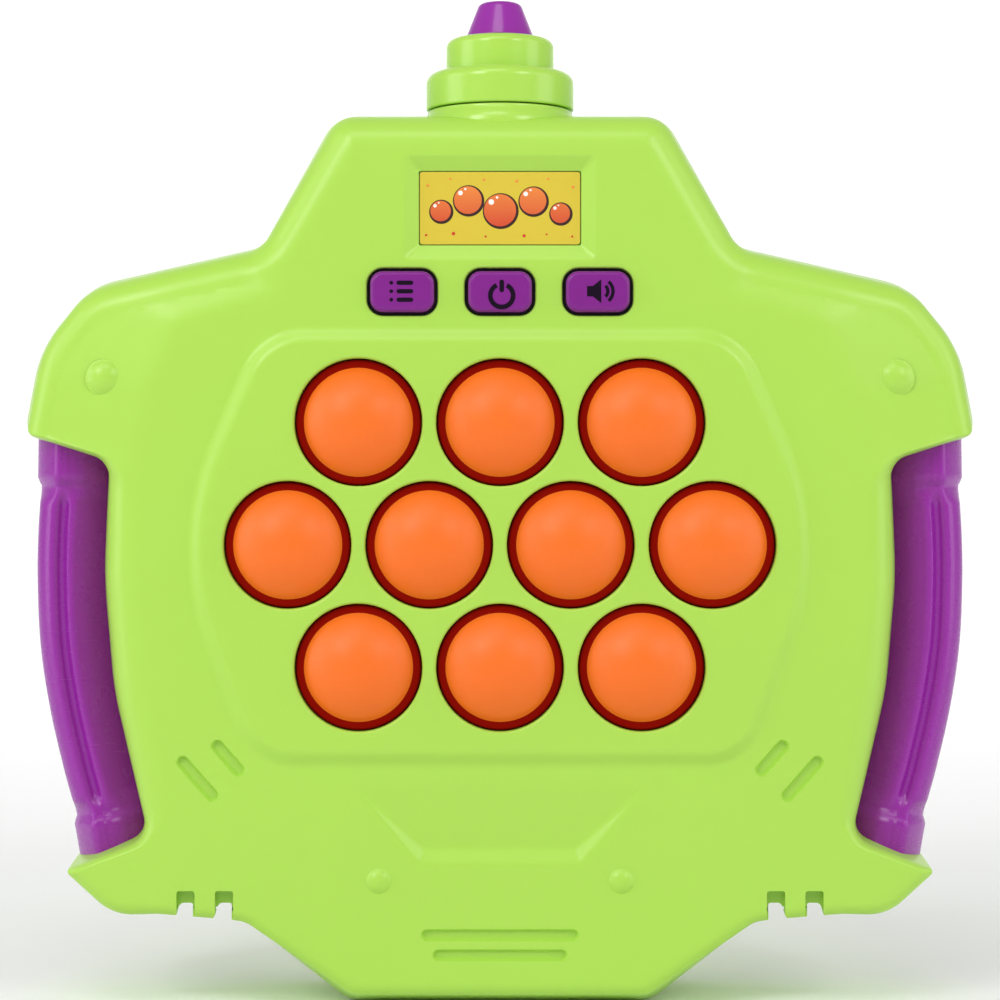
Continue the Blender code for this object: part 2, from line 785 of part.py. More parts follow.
def groove_tool():
    """Cutter for the level and slanted grooves of the lower face."""
    outlines = [
        slot(LONG_GROOVE_LENGTH, GROOVE_HEIGHT, (0, LONG_GROOVE_Y)),
        slot(SHORT_GROOVE_LENGTH, GROOVE_HEIGHT, (0, SHORT_GROOVE_Y)),
    ]
    rows = zip(SLANT_GROOVE_LENGTHS, SLANT_GROOVE_XS, SLANT_GROOVE_YS)
    for length, x, y in rows:
        for sign in (1, -1):
            angle = sign * -SLANT_GROOVE_ANGLE
            outlines.append(slot(length, SLANT_GROOVE_WIDTH, (sign * x, y), angle))
    return tool("grooves", slab(outlines, FACE_Z - GROOVE_DEPTH, FACE_Z + OVERRUN))


def notch_tool():
    """Cutter for the notches in the feet."""
    outlines = []
    for x, y in both_sides([(x, NOTCH_TOP_Y / 2) for x in NOTCH_XS]):
        outlines.append(rectangle(NOTCH_WIDTH, NOTCH_TOP_Y, (x, y)))
    return tool("notches", slab(outlines, FACE_Z - NOTCH_DEPTH, FACE_Z + OVERRUN))


def window_tool():
    """Cutter for the sloped window frame and the plate's pocket."""
    def ring(spread, height):
        width = PLATE_WIDTH + 2 * spread
        tall = PLATE_HEIGHT + 2 * spread
        corner = PLATE_CORNER + spread
        return level(rounded_rectangle(width, tall, corner, (0, WINDOW_CENTRE_Y)), height)
    rings = (
        ring(GAP, PLATE_BOTTOM_Z - GAP),
        ring(GAP, PLATE_TOP_Z),
        ring(GAP + WINDOW_BEVEL, FACE_Z),
        ring(GAP + WINDOW_BEVEL, FACE_Z + OVERRUN),
    )
    return tool("window", loft(rings))


def window_backing():
    """Thicker wall behind the window."""
    width = PLATE_WIDTH + 2 * WINDOW_BEVEL
    tall = PLATE_HEIGHT + 2 * WINDOW_BEVEL
    outline = rectangle(width, tall, (0, WINDOW_CENTRE_Y))
    low = WALL_BACK_Z - WINDOW_BACKING
    return tool("window_backing", slab([outline], low, WALL_BACK_Z + OVERLAP))


def plinth(name, front):
    """Half of the low disc under the crown, one half on each shell."""
    edge = -(PARTING_Z + GAP / 2) if front else -(PARTING_Z - GAP / 2)
    start = pi if front else 0.0
    arc = circle(CROWN_LOWER_RADIUS, (0, edge), PILLAR_SEGMENTS, pi, start)
    mesh = slab([arc], -OVERLAP, CROWN_PLINTH_RISE)
    return tool(name, upright(mesh, (0, BODY_HEIGHT, 0)))


def crown_hole():
    """Cutter for the crown's neck, half in each shell."""
    outline = circle(CROWN_NECK_RADIUS + GAP, (0, -PARTING_Z), CROWN_SEGMENTS)
    mesh = slab([outline], -OVERRUN, OVERRUN)
    return tool("crown_hole", upright(mesh, (0, BODY_HEIGHT, 0)))


def tenon_places():
    """Where each grip's tenons cross the case edge, on the right."""
    shares = (GRIP_HEAD_TENON_SHARES, GRIP_FOOT_TENON_SHARES)
    return [(x * HALF_WIDTH, y * BODY_HEIGHT) for x, y in shares]


def tenon_sockets():
    """Cutters for the grips' tenons, half in each shell."""
    shapes = []
    size = (
        GRIP_TENON_WIDTH + 2 * GAP,
        2 * (GRIP_TENON_LENGTH + GAP),
        GRIP_TENON_DEPTH + 2 * GAP,
    )
    for index, (x, y) in enumerate(both_sides(tenon_places())):
        shapes.append(tool(f"tenon_socket_{index + 1}", box(size, (x, y, PARTING_Z))))
    return shapes


def front_shell(material, shared_tools):
    """Green front half of the case."""
    item = shell("front_shell", front_rings(), material, reverse=False)
    rings = (
        level(pad_outline(0.0), FACE_Z - OVERLAP),
        level(pad_outline(0.0), FACE_Z),
        level(pad_outline(PAD_BEVEL), PAD_Z),
    )
    root_z = WALL_BACK_Z + OVERLAP
    screws, board_screws = case_screw_places(), board_screw_places()
    added = [
        tool("pad", loft(rings)),
        window_backing(),
        plinth("front_plinth", True),
        pillars("case_posts", screws, CASE_PILLAR_RADIUS, CASE_JOINT_Z + GAP, root_z),
        pillars("board_posts", board_screws, BOARD_PILLAR_RADIUS, BOARD_TOP_Z + GAP, root_z),
    ]
    combine(item, "UNION", added + rivets())
    rounds = [circle(BUBBLE_HOLE_RADIUS, c, BUBBLE_HOLE_SEGMENTS) for c in bubble_places()]
    holes = slab(rounds, WALL_BACK_Z - OVERRUN, PAD_Z + OVERRUN)
    width = BUTTON_WIDTH + 2 * BUTTON_SIDE_GAP
    height = BUTTON_HEIGHT + 2 * BUTTON_SIDE_GAP
    corner = BUTTON_CORNER + BUTTON_SIDE_GAP
    openings = [rounded_rectangle(width, height, corner, c) for c in button_places()]
    case_tip = CASE_JOINT_Z - CASE_SCREW_SEAT - GAP + CASE_SCREW_LENGTH + GAP
    board_tip = BOARD_BOTTOM_Z - GAP + BOARD_SCREW_LENGTH + GAP
    cuts = [
        tool("bubble_holes", holes),
        tool("button_holes", slab(openings, WALL_BACK_Z - OVERRUN, FACE_Z + OVERRUN)),
        window_tool(), scoop_tool(), groove_tool(), notch_tool(),
        pillars("case_threads", screws, SCREW_HOLE_RADIUS, CASE_JOINT_Z - GAP, case_tip,
                SCREW_SEGMENTS),
        pillars("board_threads", board_screws, SCREW_HOLE_RADIUS, BOARD_TOP_Z - GAP,
                board_tip, SCREW_SEGMENTS),
    ]
    combine(item, "DIFFERENCE", cuts + shared_tools)


def tub_height():
    """Inside height of the battery tub: a cell, its nub and both contacts."""
    flat_end = 2 * GAP + CONTACT_THICKNESS
    return 2 * flat_end + CONTACT_SPRING_LENGTH + CELL_LENGTH + CELL_NUB_HEIGHT


def tub_width():
    """Inside width of the battery tub."""
    return CELL_PITCH * (CELL_COUNT - 1) + 2 * (CELL_RADIUS + GAP)


def tub_edges():
    """Bottom and top inside edges of the battery tub."""
    return TUB_CENTRE_Y - tub_height() / 2, TUB_CENTRE_Y + tub_height() / 2


def door_edges():
    """Bottom and top edges of the battery door."""
    foot, head = tub_edges()
    return foot - TUB_FOOT_RIM + TUB_RIM + GAP, head + TUB_HEAD_RIM - TUB_RIM - GAP


def cell_z():
    """Height of the cells' middle, clear of the door."""
    return BACK_Z + DOOR_THICKNESS + 2 * GAP + CELL_RADIUS


def door_screw_y():
    """Centre of the door's screw, half way across the tub's top rim."""
    return (tub_edges()[1] + door_edges()[1]) / 2


def rear_shell(material, shared_tools):
    """Green back half of the case, with the battery tub."""
    item = shell("rear_shell", rear_rings(), material, reverse=True)
    foot, head = tub_edges()
    low_edge, high_edge = foot - TUB_FOOT_RIM, head + TUB_HEAD_RIM
    outer_width = tub_width() + 2 * (TUB_WALL + TUB_RIM)
    middle = (0, (low_edge + high_edge) / 2)
    tub_floor = cell_z() + CELL_RADIUS + GAP
    root_z = REAR_INNER_Z - OVERLAP
    screws = case_screw_places()
    collar = [circle(SPEAKER_RADIUS + GAP + COLLAR_WALL, (0, SPEAKER_CENTRE_Y)),
              circle(SPEAKER_RADIUS + GAP, (0, SPEAKER_CENTRE_Y))]
    tub = slab([rectangle(outer_width, high_edge - low_edge, middle)],
               root_z, tub_floor + TUB_WALL)
    added = [
        tool("tub", tub),
        tool("speaker_collar", slab(collar, root_z, REAR_INNER_Z + COLLAR_HEIGHT)),
        pillars("rear_posts", screws, SCREW_HEAD_HOLE_RADIUS + CASE_SOCKET_WALL, root_z,
                CASE_JOINT_Z),
        plinth("rear_plinth", False),
    ]
    combine(item, "UNION", added)
    door_foot, door_head = door_edges()
    door_width = tub_width() + 2 * TUB_WALL
    seat_z = BACK_Z + DOOR_THICKNESS + GAP
    opening = rounded_rectangle(door_width + 2 * GAP, door_head - door_foot + 2 * GAP,
                                DOOR_CORNER, (0, (door_foot + door_head) / 2))
    well = rectangle(tub_width(), tub_height(), (0, TUB_CENTRE_Y))
    pockets = []
    for x in (DOOR_TAB_X, -DOOR_TAB_X):
        across = DOOR_TAB_WIDTH + 2 * GAP
        depth = DOOR_TAB_LENGTH + 2 * GAP
        pockets.append(rectangle(across, 2 * depth, (x, door_foot)))
    tab_low = BACK_Z + DOOR_THICKNESS - DOOR_TAB_THICKNESS - GAP
    slots = []
    for row, length in enumerate(GRILLE_SLOT_LENGTHS):
        y = SPEAKER_CENTRE_Y + GRILLE_PITCH * (row - len(GRILLE_SLOT_LENGTHS) // 2)
        slots.append(slot(length, GRILLE_SLOT_HEIGHT, (0, y)))
    thread = circle(SCREW_RADIUS + DOOR_SCREW_SWING, (0, door_screw_y()))
    cuts = [
        tool("door_opening", slab([opening], BACK_Z - OVERRUN, seat_z)),
        tool("battery_well", slab([well], BACK_Z - OVERRUN, tub_floor)),
        tool("tab_pockets", slab(pockets, tab_low, seat_z + DOOR_TAB_POCKET)),
        tool("grille", slab(slots, BACK_Z - OVERRUN, REAR_INNER_Z + OVERLAP)),
        tool("door_thread", slab([thread], BACK_Z, BACK_Z + DOOR_THICKNESS
                                 + DOOR_SCREW_LENGTH + GAP)),
        pillars("head_sockets", screws, SCREW_HEAD_HOLE_RADIUS, BACK_Z - OVERRUN,
                CASE_JOINT_Z - CASE_SCREW_SEAT),
        pillars("screw_ways", screws, SCREW_HOLE_RADIUS, BACK_Z - OVERRUN,
                CASE_JOINT_Z + OVERRUN, SCREW_SEGMENTS),
    ]
    combine(item, "DIFFERENCE", cuts + shared_tools)


def screw_mesh(length, head, crossed=True):
    """Pan-head screw, its head's underside at Z zero and its tip above."""
    profile = [
        (0, length), (SCREW_RADIUS * SCREW_TIP_SHARE, length),
        (SCREW_RADIUS, length - SCREW_RADIUS), (SCREW_RADIUS, 0),
        (SCREW_HEAD_RADIUS, 0), (SCREW_HEAD_RADIUS, -head * SCREW_RIM_SHARE),
        (SCREW_HEAD_RADIUS * SCREW_CROWN_SHARE, -head), (0, -head),
    ]
    if not crossed:
        return turned(profile, SCREW_SEGMENTS)
    blade = SCREW_HEAD_RADIUS * SCREW_CROWN_SHARE * 2
    sizes = ((blade, SCREW_SLOT_WIDTH), (SCREW_SLOT_WIDTH, blade))
    deep = 2 * head * SCREW_SLOT_SHARE
    cross = [box((x, y, deep), (0, 0, -head)) for x, y in sizes]
    return merged(turned(profile, SCREW_SEGMENTS), *cross, operation="DIFFERENCE")


def screws(material):
    """Case screws from the back and board screws into the front posts."""
    mesh = screw_mesh(CASE_SCREW_LENGTH, SCREW_HEAD_HEIGHT)
    head_z = CASE_JOINT_Z - CASE_SCREW_SEAT - GAP
    for index, (x, y) in enumerate(case_screw_places()):
        place(f"case_screw_{index + 1}", mesh, material, (x, y, head_z))
    mesh = screw_mesh(BOARD_SCREW_LENGTH, SCREW_HEAD_HEIGHT, crossed=False)
    for index, (x, y) in enumerate(board_screw_places()):
        place(f"board_screw_{index + 1}", mesh, material, (x, y, BOARD_BOTTOM_Z - GAP))


def bubbles(material):
    """Ten hollow silicone bubbles, each with a stem over its contact."""
    rise = BUBBLE_TOP_Z - MAT_TOP_Z
    ball = (BUBBLE_RADIUS ** 2 + rise ** 2) / (2 * rise)
    inner_ball = ball - BUBBLE_WALL
    centre_z = rise - ball
    start = asin(-centre_z / ball)
    under = asin((-MAT_THICKNESS - centre_z) / inner_ball)
    stem = acos(BUBBLE_STEM_RADIUS / inner_ball)
    flange = BUBBLE_HOLE_RADIUS - GAP
    profile = arc_profile((0, centre_z), ball, pi / 2, start, EDGE_STEPS + 2)
    profile += [(flange, 0), (flange, -MAT_THICKNESS)]
    profile += arc_profile((0, centre_z), inner_ball, under, stem, EDGE_STEPS)
    bottom = STEM_BOTTOM_Z - MAT_TOP_Z
    profile += [(BUBBLE_STEM_RADIUS, bottom), (0, bottom)]
    mesh = turned(profile, BUBBLE_SEGMENTS)
    for index, (x, y) in enumerate(bubble_places()):
        place(f"bubble_{index + 1:02d}", mesh, material, (x, y, MAT_TOP_Z))


def bubble_mat(material):
    """Silicone web behind the face, with a hole round each bubble."""
    outlines = [pad_outline(MAT_MARGIN)]
    for centre in bubble_places():
        outlines.append(circle(BUBBLE_HOLE_RADIUS, centre, BUBBLE_HOLE_SEGMENTS))
    place("bubble_mat", slab(outlines, MAT_BOTTOM_Z, MAT_TOP_Z), material)


def window_plate(material):
    """Yellow plate in the window."""
    outline = rounded_rectangle(PLATE_WIDTH, PLATE_HEIGHT, PLATE_CORNER, (0, WINDOW_CENTRE_Y))
    place("window_plate", slab([outline], PLATE_BOTTOM_Z, PLATE_TOP_Z), material)


def buttons(cap_material, switch_material):
    """Caps that travel, and the switches that they press."""
    flange_z = WALL_BACK_Z - GAP
    stem_low = flange_z - BUTTON_FLANGE_THICKNESS
    switch_top = BOARD_TOP_Z + GAP + SWITCH_BODY_HEIGHT + SWITCH_PLUNGER_HEIGHT
    top = FACE_Z + BUTTON_RISE
    outline = rounded_rectangle(BUTTON_WIDTH, BUTTON_HEIGHT, BUTTON_CORNER)
    inner = rounded_rectangle(BUTTON_WIDTH - 2 * BUTTON_BEVEL,
                              BUTTON_HEIGHT - 2 * BUTTON_BEVEL, BUTTON_CORNER - BUTTON_BEVEL)
    cap = loft((level(outline, stem_low + BUTTON_FLANGE_THICKNESS / 2),
                level(outline, top - BUTTON_BEVEL), level(inner, top)))
    spread = 2 * (BUTTON_FLANGE + BUTTON_SIDE_GAP)
    flange = slab([rounded_rectangle(BUTTON_WIDTH + spread, BUTTON_HEIGHT + spread,
                                     BUTTON_CORNER)], stem_low, flange_z)
    stem_tip = switch_top + BUTTON_TRAVEL + GAP / 2
    stem = slab([circle(BUTTON_STEM_RADIUS, count=SCREW_SEGMENTS)], stem_tip,
                stem_low + BUTTON_FLANGE_THICKNESS / 2)
    cap_mesh = merged(cap, flange, stem)
    body = box((SWITCH_SIDE, SWITCH_SIDE, SWITCH_BODY_HEIGHT), (0, 0, SWITCH_BODY_HEIGHT / 2))
    plunger = slab([circle(SWITCH_PLUNGER_RADIUS, count=SCREW_SEGMENTS)],
                   SWITCH_BODY_HEIGHT / 2, SWITCH_BODY_HEIGHT + SWITCH_PLUNGER_HEIGHT)
    switch_mesh = merged(body, plunger)
    for name, (x, y) in zip(BUTTON_NAMES, button_places()):
        place(f"{name}_button", cap_mesh, cap_material, (x, y, 0))
        place(f"{name}_switch", switch_mesh, switch_material, (x, y, BOARD_TOP_Z + GAP))


def main_board(board_material, led_material, chip_material):
    """Circuit board with its lights and its chip."""
    size = (BOARD_WIDTH, BOARD_HEIGHT, BOARD_CORNER, (0, BOARD_CENTRE_Y))
    outlines = [rounded_rectangle(*size)]
    for centre in board_screw_places():
        outlines.append(circle(SCREW_HOLE_RADIUS, centre, SCREW_SEGMENTS))
    place("main_board", slab(outlines, BOARD_BOTTOM_Z, BOARD_TOP_Z), board_material)
    light = box((LED_WIDTH, LED_DEPTH, LED_HEIGHT), (0, 0, LED_HEIGHT / 2))
    for index, (x, y) in enumerate(bubble_places()):
        spot = (x, y + LED_OFFSET, BOARD_TOP_Z + GAP)
        place(f"led_{index + 1:02d}", light, led_material, spot)
    chip = box((CHIP_SIDE, CHIP_SIDE, CHIP_HEIGHT), (0, 0, -CHIP_HEIGHT / 2))
    place("controller_chip", chip, chip_material, (CHIP_X, CHIP_Y, BOARD_BOTTOM_Z - GAP))


def speaker(material):
    """Round speaker that faces the grille in the back."""
    low = SPEAKER_RIM_HEIGHT
    middle = low + SPEAKER_BASKET_HEIGHT
    high = middle + SPEAKER_MAGNET_HEIGHT
    profile = [
        (0, high), (SPEAKER_MAGNET_RADIUS, high), (SPEAKER_MAGNET_RADIUS, middle),
        (SPEAKER_BASKET_RADIUS, middle), (SPEAKER_RADIUS, low), (SPEAKER_RADIUS, 0),
        (SPEAKER_BASKET_RADIUS, 0), (0, SPEAKER_RIM_HEIGHT / 2),
    ]
    mesh = turned(profile, SPEAKER_SEGMENTS)
    place("speaker", mesh, material, (0, SPEAKER_CENTRE_Y, REAR_INNER_Z + GAP))


def batteries(cell_material, contact_material):
    """Three cells, turned end for end in the middle, and their contacts."""
    profile = [
        (0, CELL_LENGTH + CELL_NUB_HEIGHT), (CELL_NUB_RADIUS, CELL_LENGTH + CELL_NUB_HEIGHT),
        (CELL_NUB_RADIUS, CELL_LENGTH), (CELL_RADIUS, CELL_LENGTH), (CELL_RADIUS, 0), (0, 0),
    ]
    foot, head = tub_edges()
    flat_end = 2 * GAP + CONTACT_THICKNESS
    up = turned(profile, CELL_SEGMENTS)
    down = up.copy()
    up = upright(up, (0, head - flat_end - CELL_LENGTH - CELL_NUB_HEIGHT, 0))
    down.transform(Matrix.Rotation(pi, 4, "X"))
    down = upright(down, (0, foot + flat_end + CELL_LENGTH + CELL_NUB_HEIGHT, 0))
    for index in range(CELL_COUNT):
        x = CELL_PITCH * (index - (CELL_COUNT - 1) / 2)
        mesh = down if index % 2 else up
        place(f"battery_{index + 1}", mesh, cell_material, (x, 0, cell_z()))
    kinds = (
        ("contact_foot_link", (0, 1), 0, False), ("contact_foot_end", (2,), 2, False),
        ("contact_head_end", (0,), None, True), ("contact_head_link", (1, 2), 1, True),
    )
    for name, columns, spring, at_head in kinds:
        mesh = contact(columns, spring, at_head)
        place(name, mesh, contact_material, (0, 0, cell_z()))


def contact(columns, spring, at_head):
    """Contact plate across some cells, with a cone spring on one of them."""
    foot, head = tub_edges()
    xs = [CELL_PITCH * (column - (CELL_COUNT - 1) / 2) for column in columns]
    reach = CELL_RADIUS - CONTACT_MARGIN
    inner = CONTACT_THICKNESS + GAP
    wall = head - GAP - CONTACT_THICKNESS / 2 if at_head else foot + inner - CONTACT_THICKNESS / 2
    size = (xs[-1] - xs[0] + 2 * reach, CONTACT_THICKNESS, 2 * reach)
    plate = box(size, ((xs[0] + xs[-1]) / 2, wall, 0))
    if spring is None:
        return plate
    profile = [
        (0, CONTACT_SPRING_LENGTH), (CONTACT_SPRING_TIP_RADIUS, CONTACT_SPRING_LENGTH),
        (CONTACT_SPRING_RADIUS, -CONTACT_THICKNESS / 2), (0, -CONTACT_THICKNESS / 2),
    ]
    cone = turned(profile, SCREW_SEGMENTS)
    if at_head:
        cone.transform(Matrix.Rotation(pi, 4, "X"))
    x = CELL_PITCH * (spring - (CELL_COUNT - 1) / 2)
    y = head - inner if at_head else foot + inner
    return merged(plate, upright(cone, (x, y, 0)))


def battery_door(material, screw_material):
    """Door with two tabs at its foot and a captive screw at its head."""
    foot, head = door_edges()
    height = head - foot
    width = tub_width() + 2 * TUB_WALL
    panel = slab([rounded_rectangle(width, height, DOOR_CORNER, (0, height / 2))],
                 0, DOOR_THICKNESS)
    tabs = []
    for x in (DOOR_TAB_X, -DOOR_TAB_X):
        size = (DOOR_TAB_WIDTH, 2 * DOOR_TAB_LENGTH, DOOR_TAB_THICKNESS)
        tabs.append(box(size, (x, 0, DOOR_THICKNESS - DOOR_TAB_THICKNESS / 2)))
    mesh = merged(panel, *tabs)
    screw_up = door_screw_y() - foot
    ribs = []
    for row in range(DOOR_RIB_COUNT):
        y = screw_up - DOOR_RIB_START - row * DOOR_RIB_PITCH
        ribs.append(slot(DOOR_GRIP_WIDTH, DOOR_GRIP_HEIGHT, (0, y)))
    head_room = DOOR_SCREW_HEAD_HEIGHT + GAP
    cuts = [
        slab([circle(SCREW_HOLE_RADIUS, (0, screw_up), SCREW_SEGMENTS)], -OVERRUN, OVERRUN),
        slab([circle(SCREW_HEAD_HOLE_RADIUS, (0, screw_up))], -OVERRUN, head_room),
        slab(ribs, -OVERRUN, DOOR_GRIP_DEPTH),
    ]
    mesh = merged(mesh, *cuts, operation="DIFFERENCE")
    place("battery_door", mesh, material, (0, foot, BACK_Z))
    screw = screw_mesh(DOOR_SCREW_LENGTH, DOOR_SCREW_HEAD_HEIGHT)
    screw.transform(Matrix.Translation((0, screw_up, head_room - GAP)))
    place("battery_door_screw", screw, screw_material, (0, foot, BACK_Z))


def grips(material):
    """Two side grips, shaped to the case edge, with tenons into the case."""
    case = slab([whole_outline(drawn_in(case_corners(), [-GAP] * len(CASE_CORNER_SHARES)))],
                BACK_Z, FACE_Z)
    path = [(x * HALF_WIDTH, y * BODY_HEIGHT) for x, y in GRIP_PATH_SHARES]
    edges = tenon_places()
    collar_ends = (edges[0][1] - GRIP_COLLAR_LENGTH, edges[1][1] + GRIP_COLLAR_LENGTH)
    stations = grip_stations(path, collar_ends)
    for side, sign in (("right", 1), ("left", -1)):
        rings = []
        for (x, y), size in stations:
            ring = []
            for across, deep in GRIP_SECTION_SHARES:
                offset = across * GRIP_HALF_WIDTH * (size if across > 0 else 1)
                height = PARTING_Z + deep * GRIP_HALF_DEPTH * size
                ring.append((sign * (x + offset), y, height))
            rings.append(ring)
        mesh = merged(loft(rings), case.copy(), operation="DIFFERENCE")
        tenons = []
        for x, y in edges:
            size = (GRIP_TENON_WIDTH, 2 * GRIP_TENON_LENGTH, GRIP_TENON_DEPTH)
            tenons.append(box(size, (sign * x, y, PARTING_Z)))
        place(f"grip_{side}", merged(mesh, *tenons), material)


def grip_stations(path, collar_ends):
    """Path points with their section size, stepped up into a collar at each end."""
    head_end, foot_end = collar_ends
    stations = []
    for before, point in zip([None] + path, path):
        if before:
            for edge, rising in ((head_end, True), (foot_end, False)):
                if before[1] > edge > point[1]:
                    share = (before[1] - edge) / (before[1] - point[1])
                    x = before[0] + (point[0] - before[0]) * share
                    sizes = (GRIP_COLLAR_SHARE, 1.0) if rising else (1.0, GRIP_COLLAR_SHARE)
                    for size, shift in zip(sizes, (GRIP_COLLAR_STEP, -GRIP_COLLAR_STEP)):
                        stations.append(((x, edge + shift), size))
        inside = head_end > point[1] > foot_end
        stations.append((point, 1.0 if inside else GRIP_COLLAR_SHARE))
    return stations


def crown(green, purple):
    """Two-step knob held between the shells, and the tip plugged into it."""
    under = -WALL - GAP
    base = CROWN_PLINTH_RISE + GAP
    middle = base + CROWN_LOWER_HEIGHT
    top = middle + CROWN_UPPER_HEIGHT
    bore = TIP_SPIGOT_RADIUS + GAP
    floor = top - TIP_SPIGOT_LENGTH - GAP
    turn = CROWN_EDGE_ROUND
    profile = [(0, floor), (bore, floor), (bore, top)]
    upper, lower = CROWN_UPPER_RADIUS, CROWN_LOWER_RADIUS
    profile += arc_profile((upper - turn, top - turn), turn, pi / 2, 0, EDGE_STEPS)
    profile += [(upper, middle)]
    profile += arc_profile((lower - turn, middle - turn), turn, pi / 2, 0, EDGE_STEPS)
    profile += [
        (lower, base), (CROWN_NECK_RADIUS, base), (CROWN_NECK_RADIUS, under),
        (CROWN_FOOT_RADIUS, under), (CROWN_FOOT_RADIUS, under - CROWN_FOOT_HEIGHT),
        (0, under - CROWN_FOOT_HEIGHT),
    ]
    mesh = upright(turned(profile, CROWN_SEGMENTS))
    place("crown_collar", mesh, green, (0, BODY_HEIGHT, PARTING_Z))
    low = top + GAP
    high = low + TIP_HEIGHT
    turn = TIP_EDGE_ROUND
    profile = [(0, high)]
    profile += arc_profile((TIP_TOP_RADIUS - turn, high - turn), turn, pi / 2, 0, EDGE_STEPS)
    profile += [
        (TIP_BASE_RADIUS, low + turn), (TIP_BASE_RADIUS, low), (TIP_SPIGOT_RADIUS, low),
        (TIP_SPIGOT_RADIUS, top - TIP_SPIGOT_LENGTH), (0, top - TIP_SPIGOT_LENGTH),
    ]
    mesh = upright(turned(profile, CROWN_SEGMENTS))
    place("crown_tip", mesh, purple, (0, BODY_HEIGHT, PARTING_Z))


def main():
    """Model every part of the game."""
    clear_scene()
    green = plastic("green_plastic", GREEN_SHARES, 0.28)
    purple = plastic("purple_plastic", PURPLE_SHARES, 0.30)
    tip_purple = plastic("tip_plastic", TIP_PURPLE_SHARES, 0.25)
    steel = plastic("steel", STEEL_SHARES, 0.35, 1.0)
    shared_tools = [crown_hole()] + tenon_sockets()
    front_shell(green, shared_tools)
    rear_shell(green, shared_tools)
    battery_door(green, steel)
    grips(purple)
    crown(green, tip_purple)
    window_plate(plastic("yellow_plate", YELLOW_SHARES, 0.35))
    bubble_mat(plastic("mat_silicone", MAT_SHARES, 0.55))
    bubbles(plastic("orange_silicone", ORANGE_SHARES, 0.50))
    buttons(purple, plastic("switch_plastic", CHIP_SHARES, 0.45))
    main_board(plastic("board", BOARD_SHARES, 0.40), plastic("led", LED_SHARES, 0.30),
               plastic("chip", CHIP_SHARES, 0.40))
    speaker(plastic("speaker", SPEAKER_SHARES, 0.50, 0.3))
    batteries(plastic("cell", CELL_SHARES, 0.30, 0.6), plastic("contact", STEEL_SHARES, 0.30, 1.0))
    screws(steel)
    bpy.context.view_layer.update()


main()
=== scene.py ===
"""Finished look of the electronic bubble pop game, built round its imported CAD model.

Shapes are drawn with the game lying on its back, X to the right, Y up the face and Z
out of the face, in millimetres. Each finished mesh is then stood up, in metres.
"""

from math import atan, atan2, cos, pi, radians, sin, sqrt, tan

import bmesh
import bpy
from bpy.props import FloatProperty, FloatVectorProperty, IntProperty, PointerProperty
from mathutils import Matrix, Vector
from mathutils.geometry import delaunay_2d_cdt
from mathutils.kdtree import KDTree


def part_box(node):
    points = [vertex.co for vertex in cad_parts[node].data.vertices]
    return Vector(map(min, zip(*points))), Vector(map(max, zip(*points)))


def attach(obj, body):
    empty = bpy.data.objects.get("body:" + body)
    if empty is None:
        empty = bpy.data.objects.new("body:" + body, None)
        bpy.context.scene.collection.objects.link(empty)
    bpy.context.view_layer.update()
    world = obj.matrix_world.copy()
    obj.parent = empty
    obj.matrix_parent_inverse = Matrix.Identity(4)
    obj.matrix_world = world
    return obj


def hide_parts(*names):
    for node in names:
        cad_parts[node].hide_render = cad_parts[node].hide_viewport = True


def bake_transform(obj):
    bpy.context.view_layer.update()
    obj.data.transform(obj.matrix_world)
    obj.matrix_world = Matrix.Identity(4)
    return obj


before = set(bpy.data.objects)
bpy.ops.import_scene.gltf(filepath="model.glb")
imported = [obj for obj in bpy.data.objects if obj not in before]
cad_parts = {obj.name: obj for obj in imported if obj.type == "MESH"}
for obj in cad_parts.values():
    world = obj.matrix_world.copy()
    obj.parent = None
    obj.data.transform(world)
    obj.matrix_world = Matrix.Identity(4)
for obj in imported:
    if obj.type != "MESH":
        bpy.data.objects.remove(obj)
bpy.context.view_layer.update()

bl_info = {
    "name": "Bubble pop game",
    "version": (1, 0, 0),
    "blender": (4, 5, 0),
    "location": "View3D > Sidebar > Bubble Pop",
    "description": "Builds the finished pieces of a hand-held bubble pop game",
    "category": "Add Mesh",
}

MM = 0.001
GAMMA = 2.2
STAND_UP = Matrix.Rotation(pi / 2, 4, "X") @ Matrix.Scale(MM, 4)
SHARP_ANGLE = radians(38)


def cad_box(node):
    """Lowest and highest corners of a CAD node in the drawing's axes and millimetres."""
    low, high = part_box(node)
    return (
        Vector((low[0], low[2], -high[1])) / MM,
        Vector((high[0], high[2], -low[1])) / MM,
    )


# Places that the CAD nodes give
BACK_Z = cad_box("rear_shell")[0].z
HALF_WIDTH = cad_box("front_shell")[1].x
BUBBLE_LOW, BUBBLE_HIGH = cad_box("bubble_05")
PLATE_LOW, PLATE_HIGH = cad_box("window_plate")
DOOR_LOW, DOOR_HIGH = cad_box("battery_door")
PLATE_WIDTH = PLATE_HIGH.x - PLATE_LOW.x
PLATE_HEIGHT = PLATE_HIGH.y - PLATE_LOW.y

# Main sizes, in millimetres, and the heights that follow from them
REAR_DEPTH = 17.0
FRONT_DEPTH = 16.5
PARTING_Z = BACK_Z + REAR_DEPTH
FACE_Z = PARTING_Z + FRONT_DEPTH
BODY_HEIGHT = 157.9
WALL = 1.8
GAP = 0.3
UNDER_FACE_Z = FACE_Z - WALL - GAP
CAP_TOP_Z = FACE_Z + 1.2
BUBBLE_PITCH = 24.6
BUBBLE_RING_Z = FACE_Z + 0.1
BUBBLE_CENTRE_Y = 81.1
BUBBLE_ROW_COUNTS = (3, 4, 3)
BUTTON_PITCH = 17.0
BUTTON_CENTRE_Y = 125.1
BUTTON_NAMES = ("menu", "power", "volume")
WINDOW_CENTRE_Y = (PLATE_LOW.y + PLATE_HIGH.y) / 2


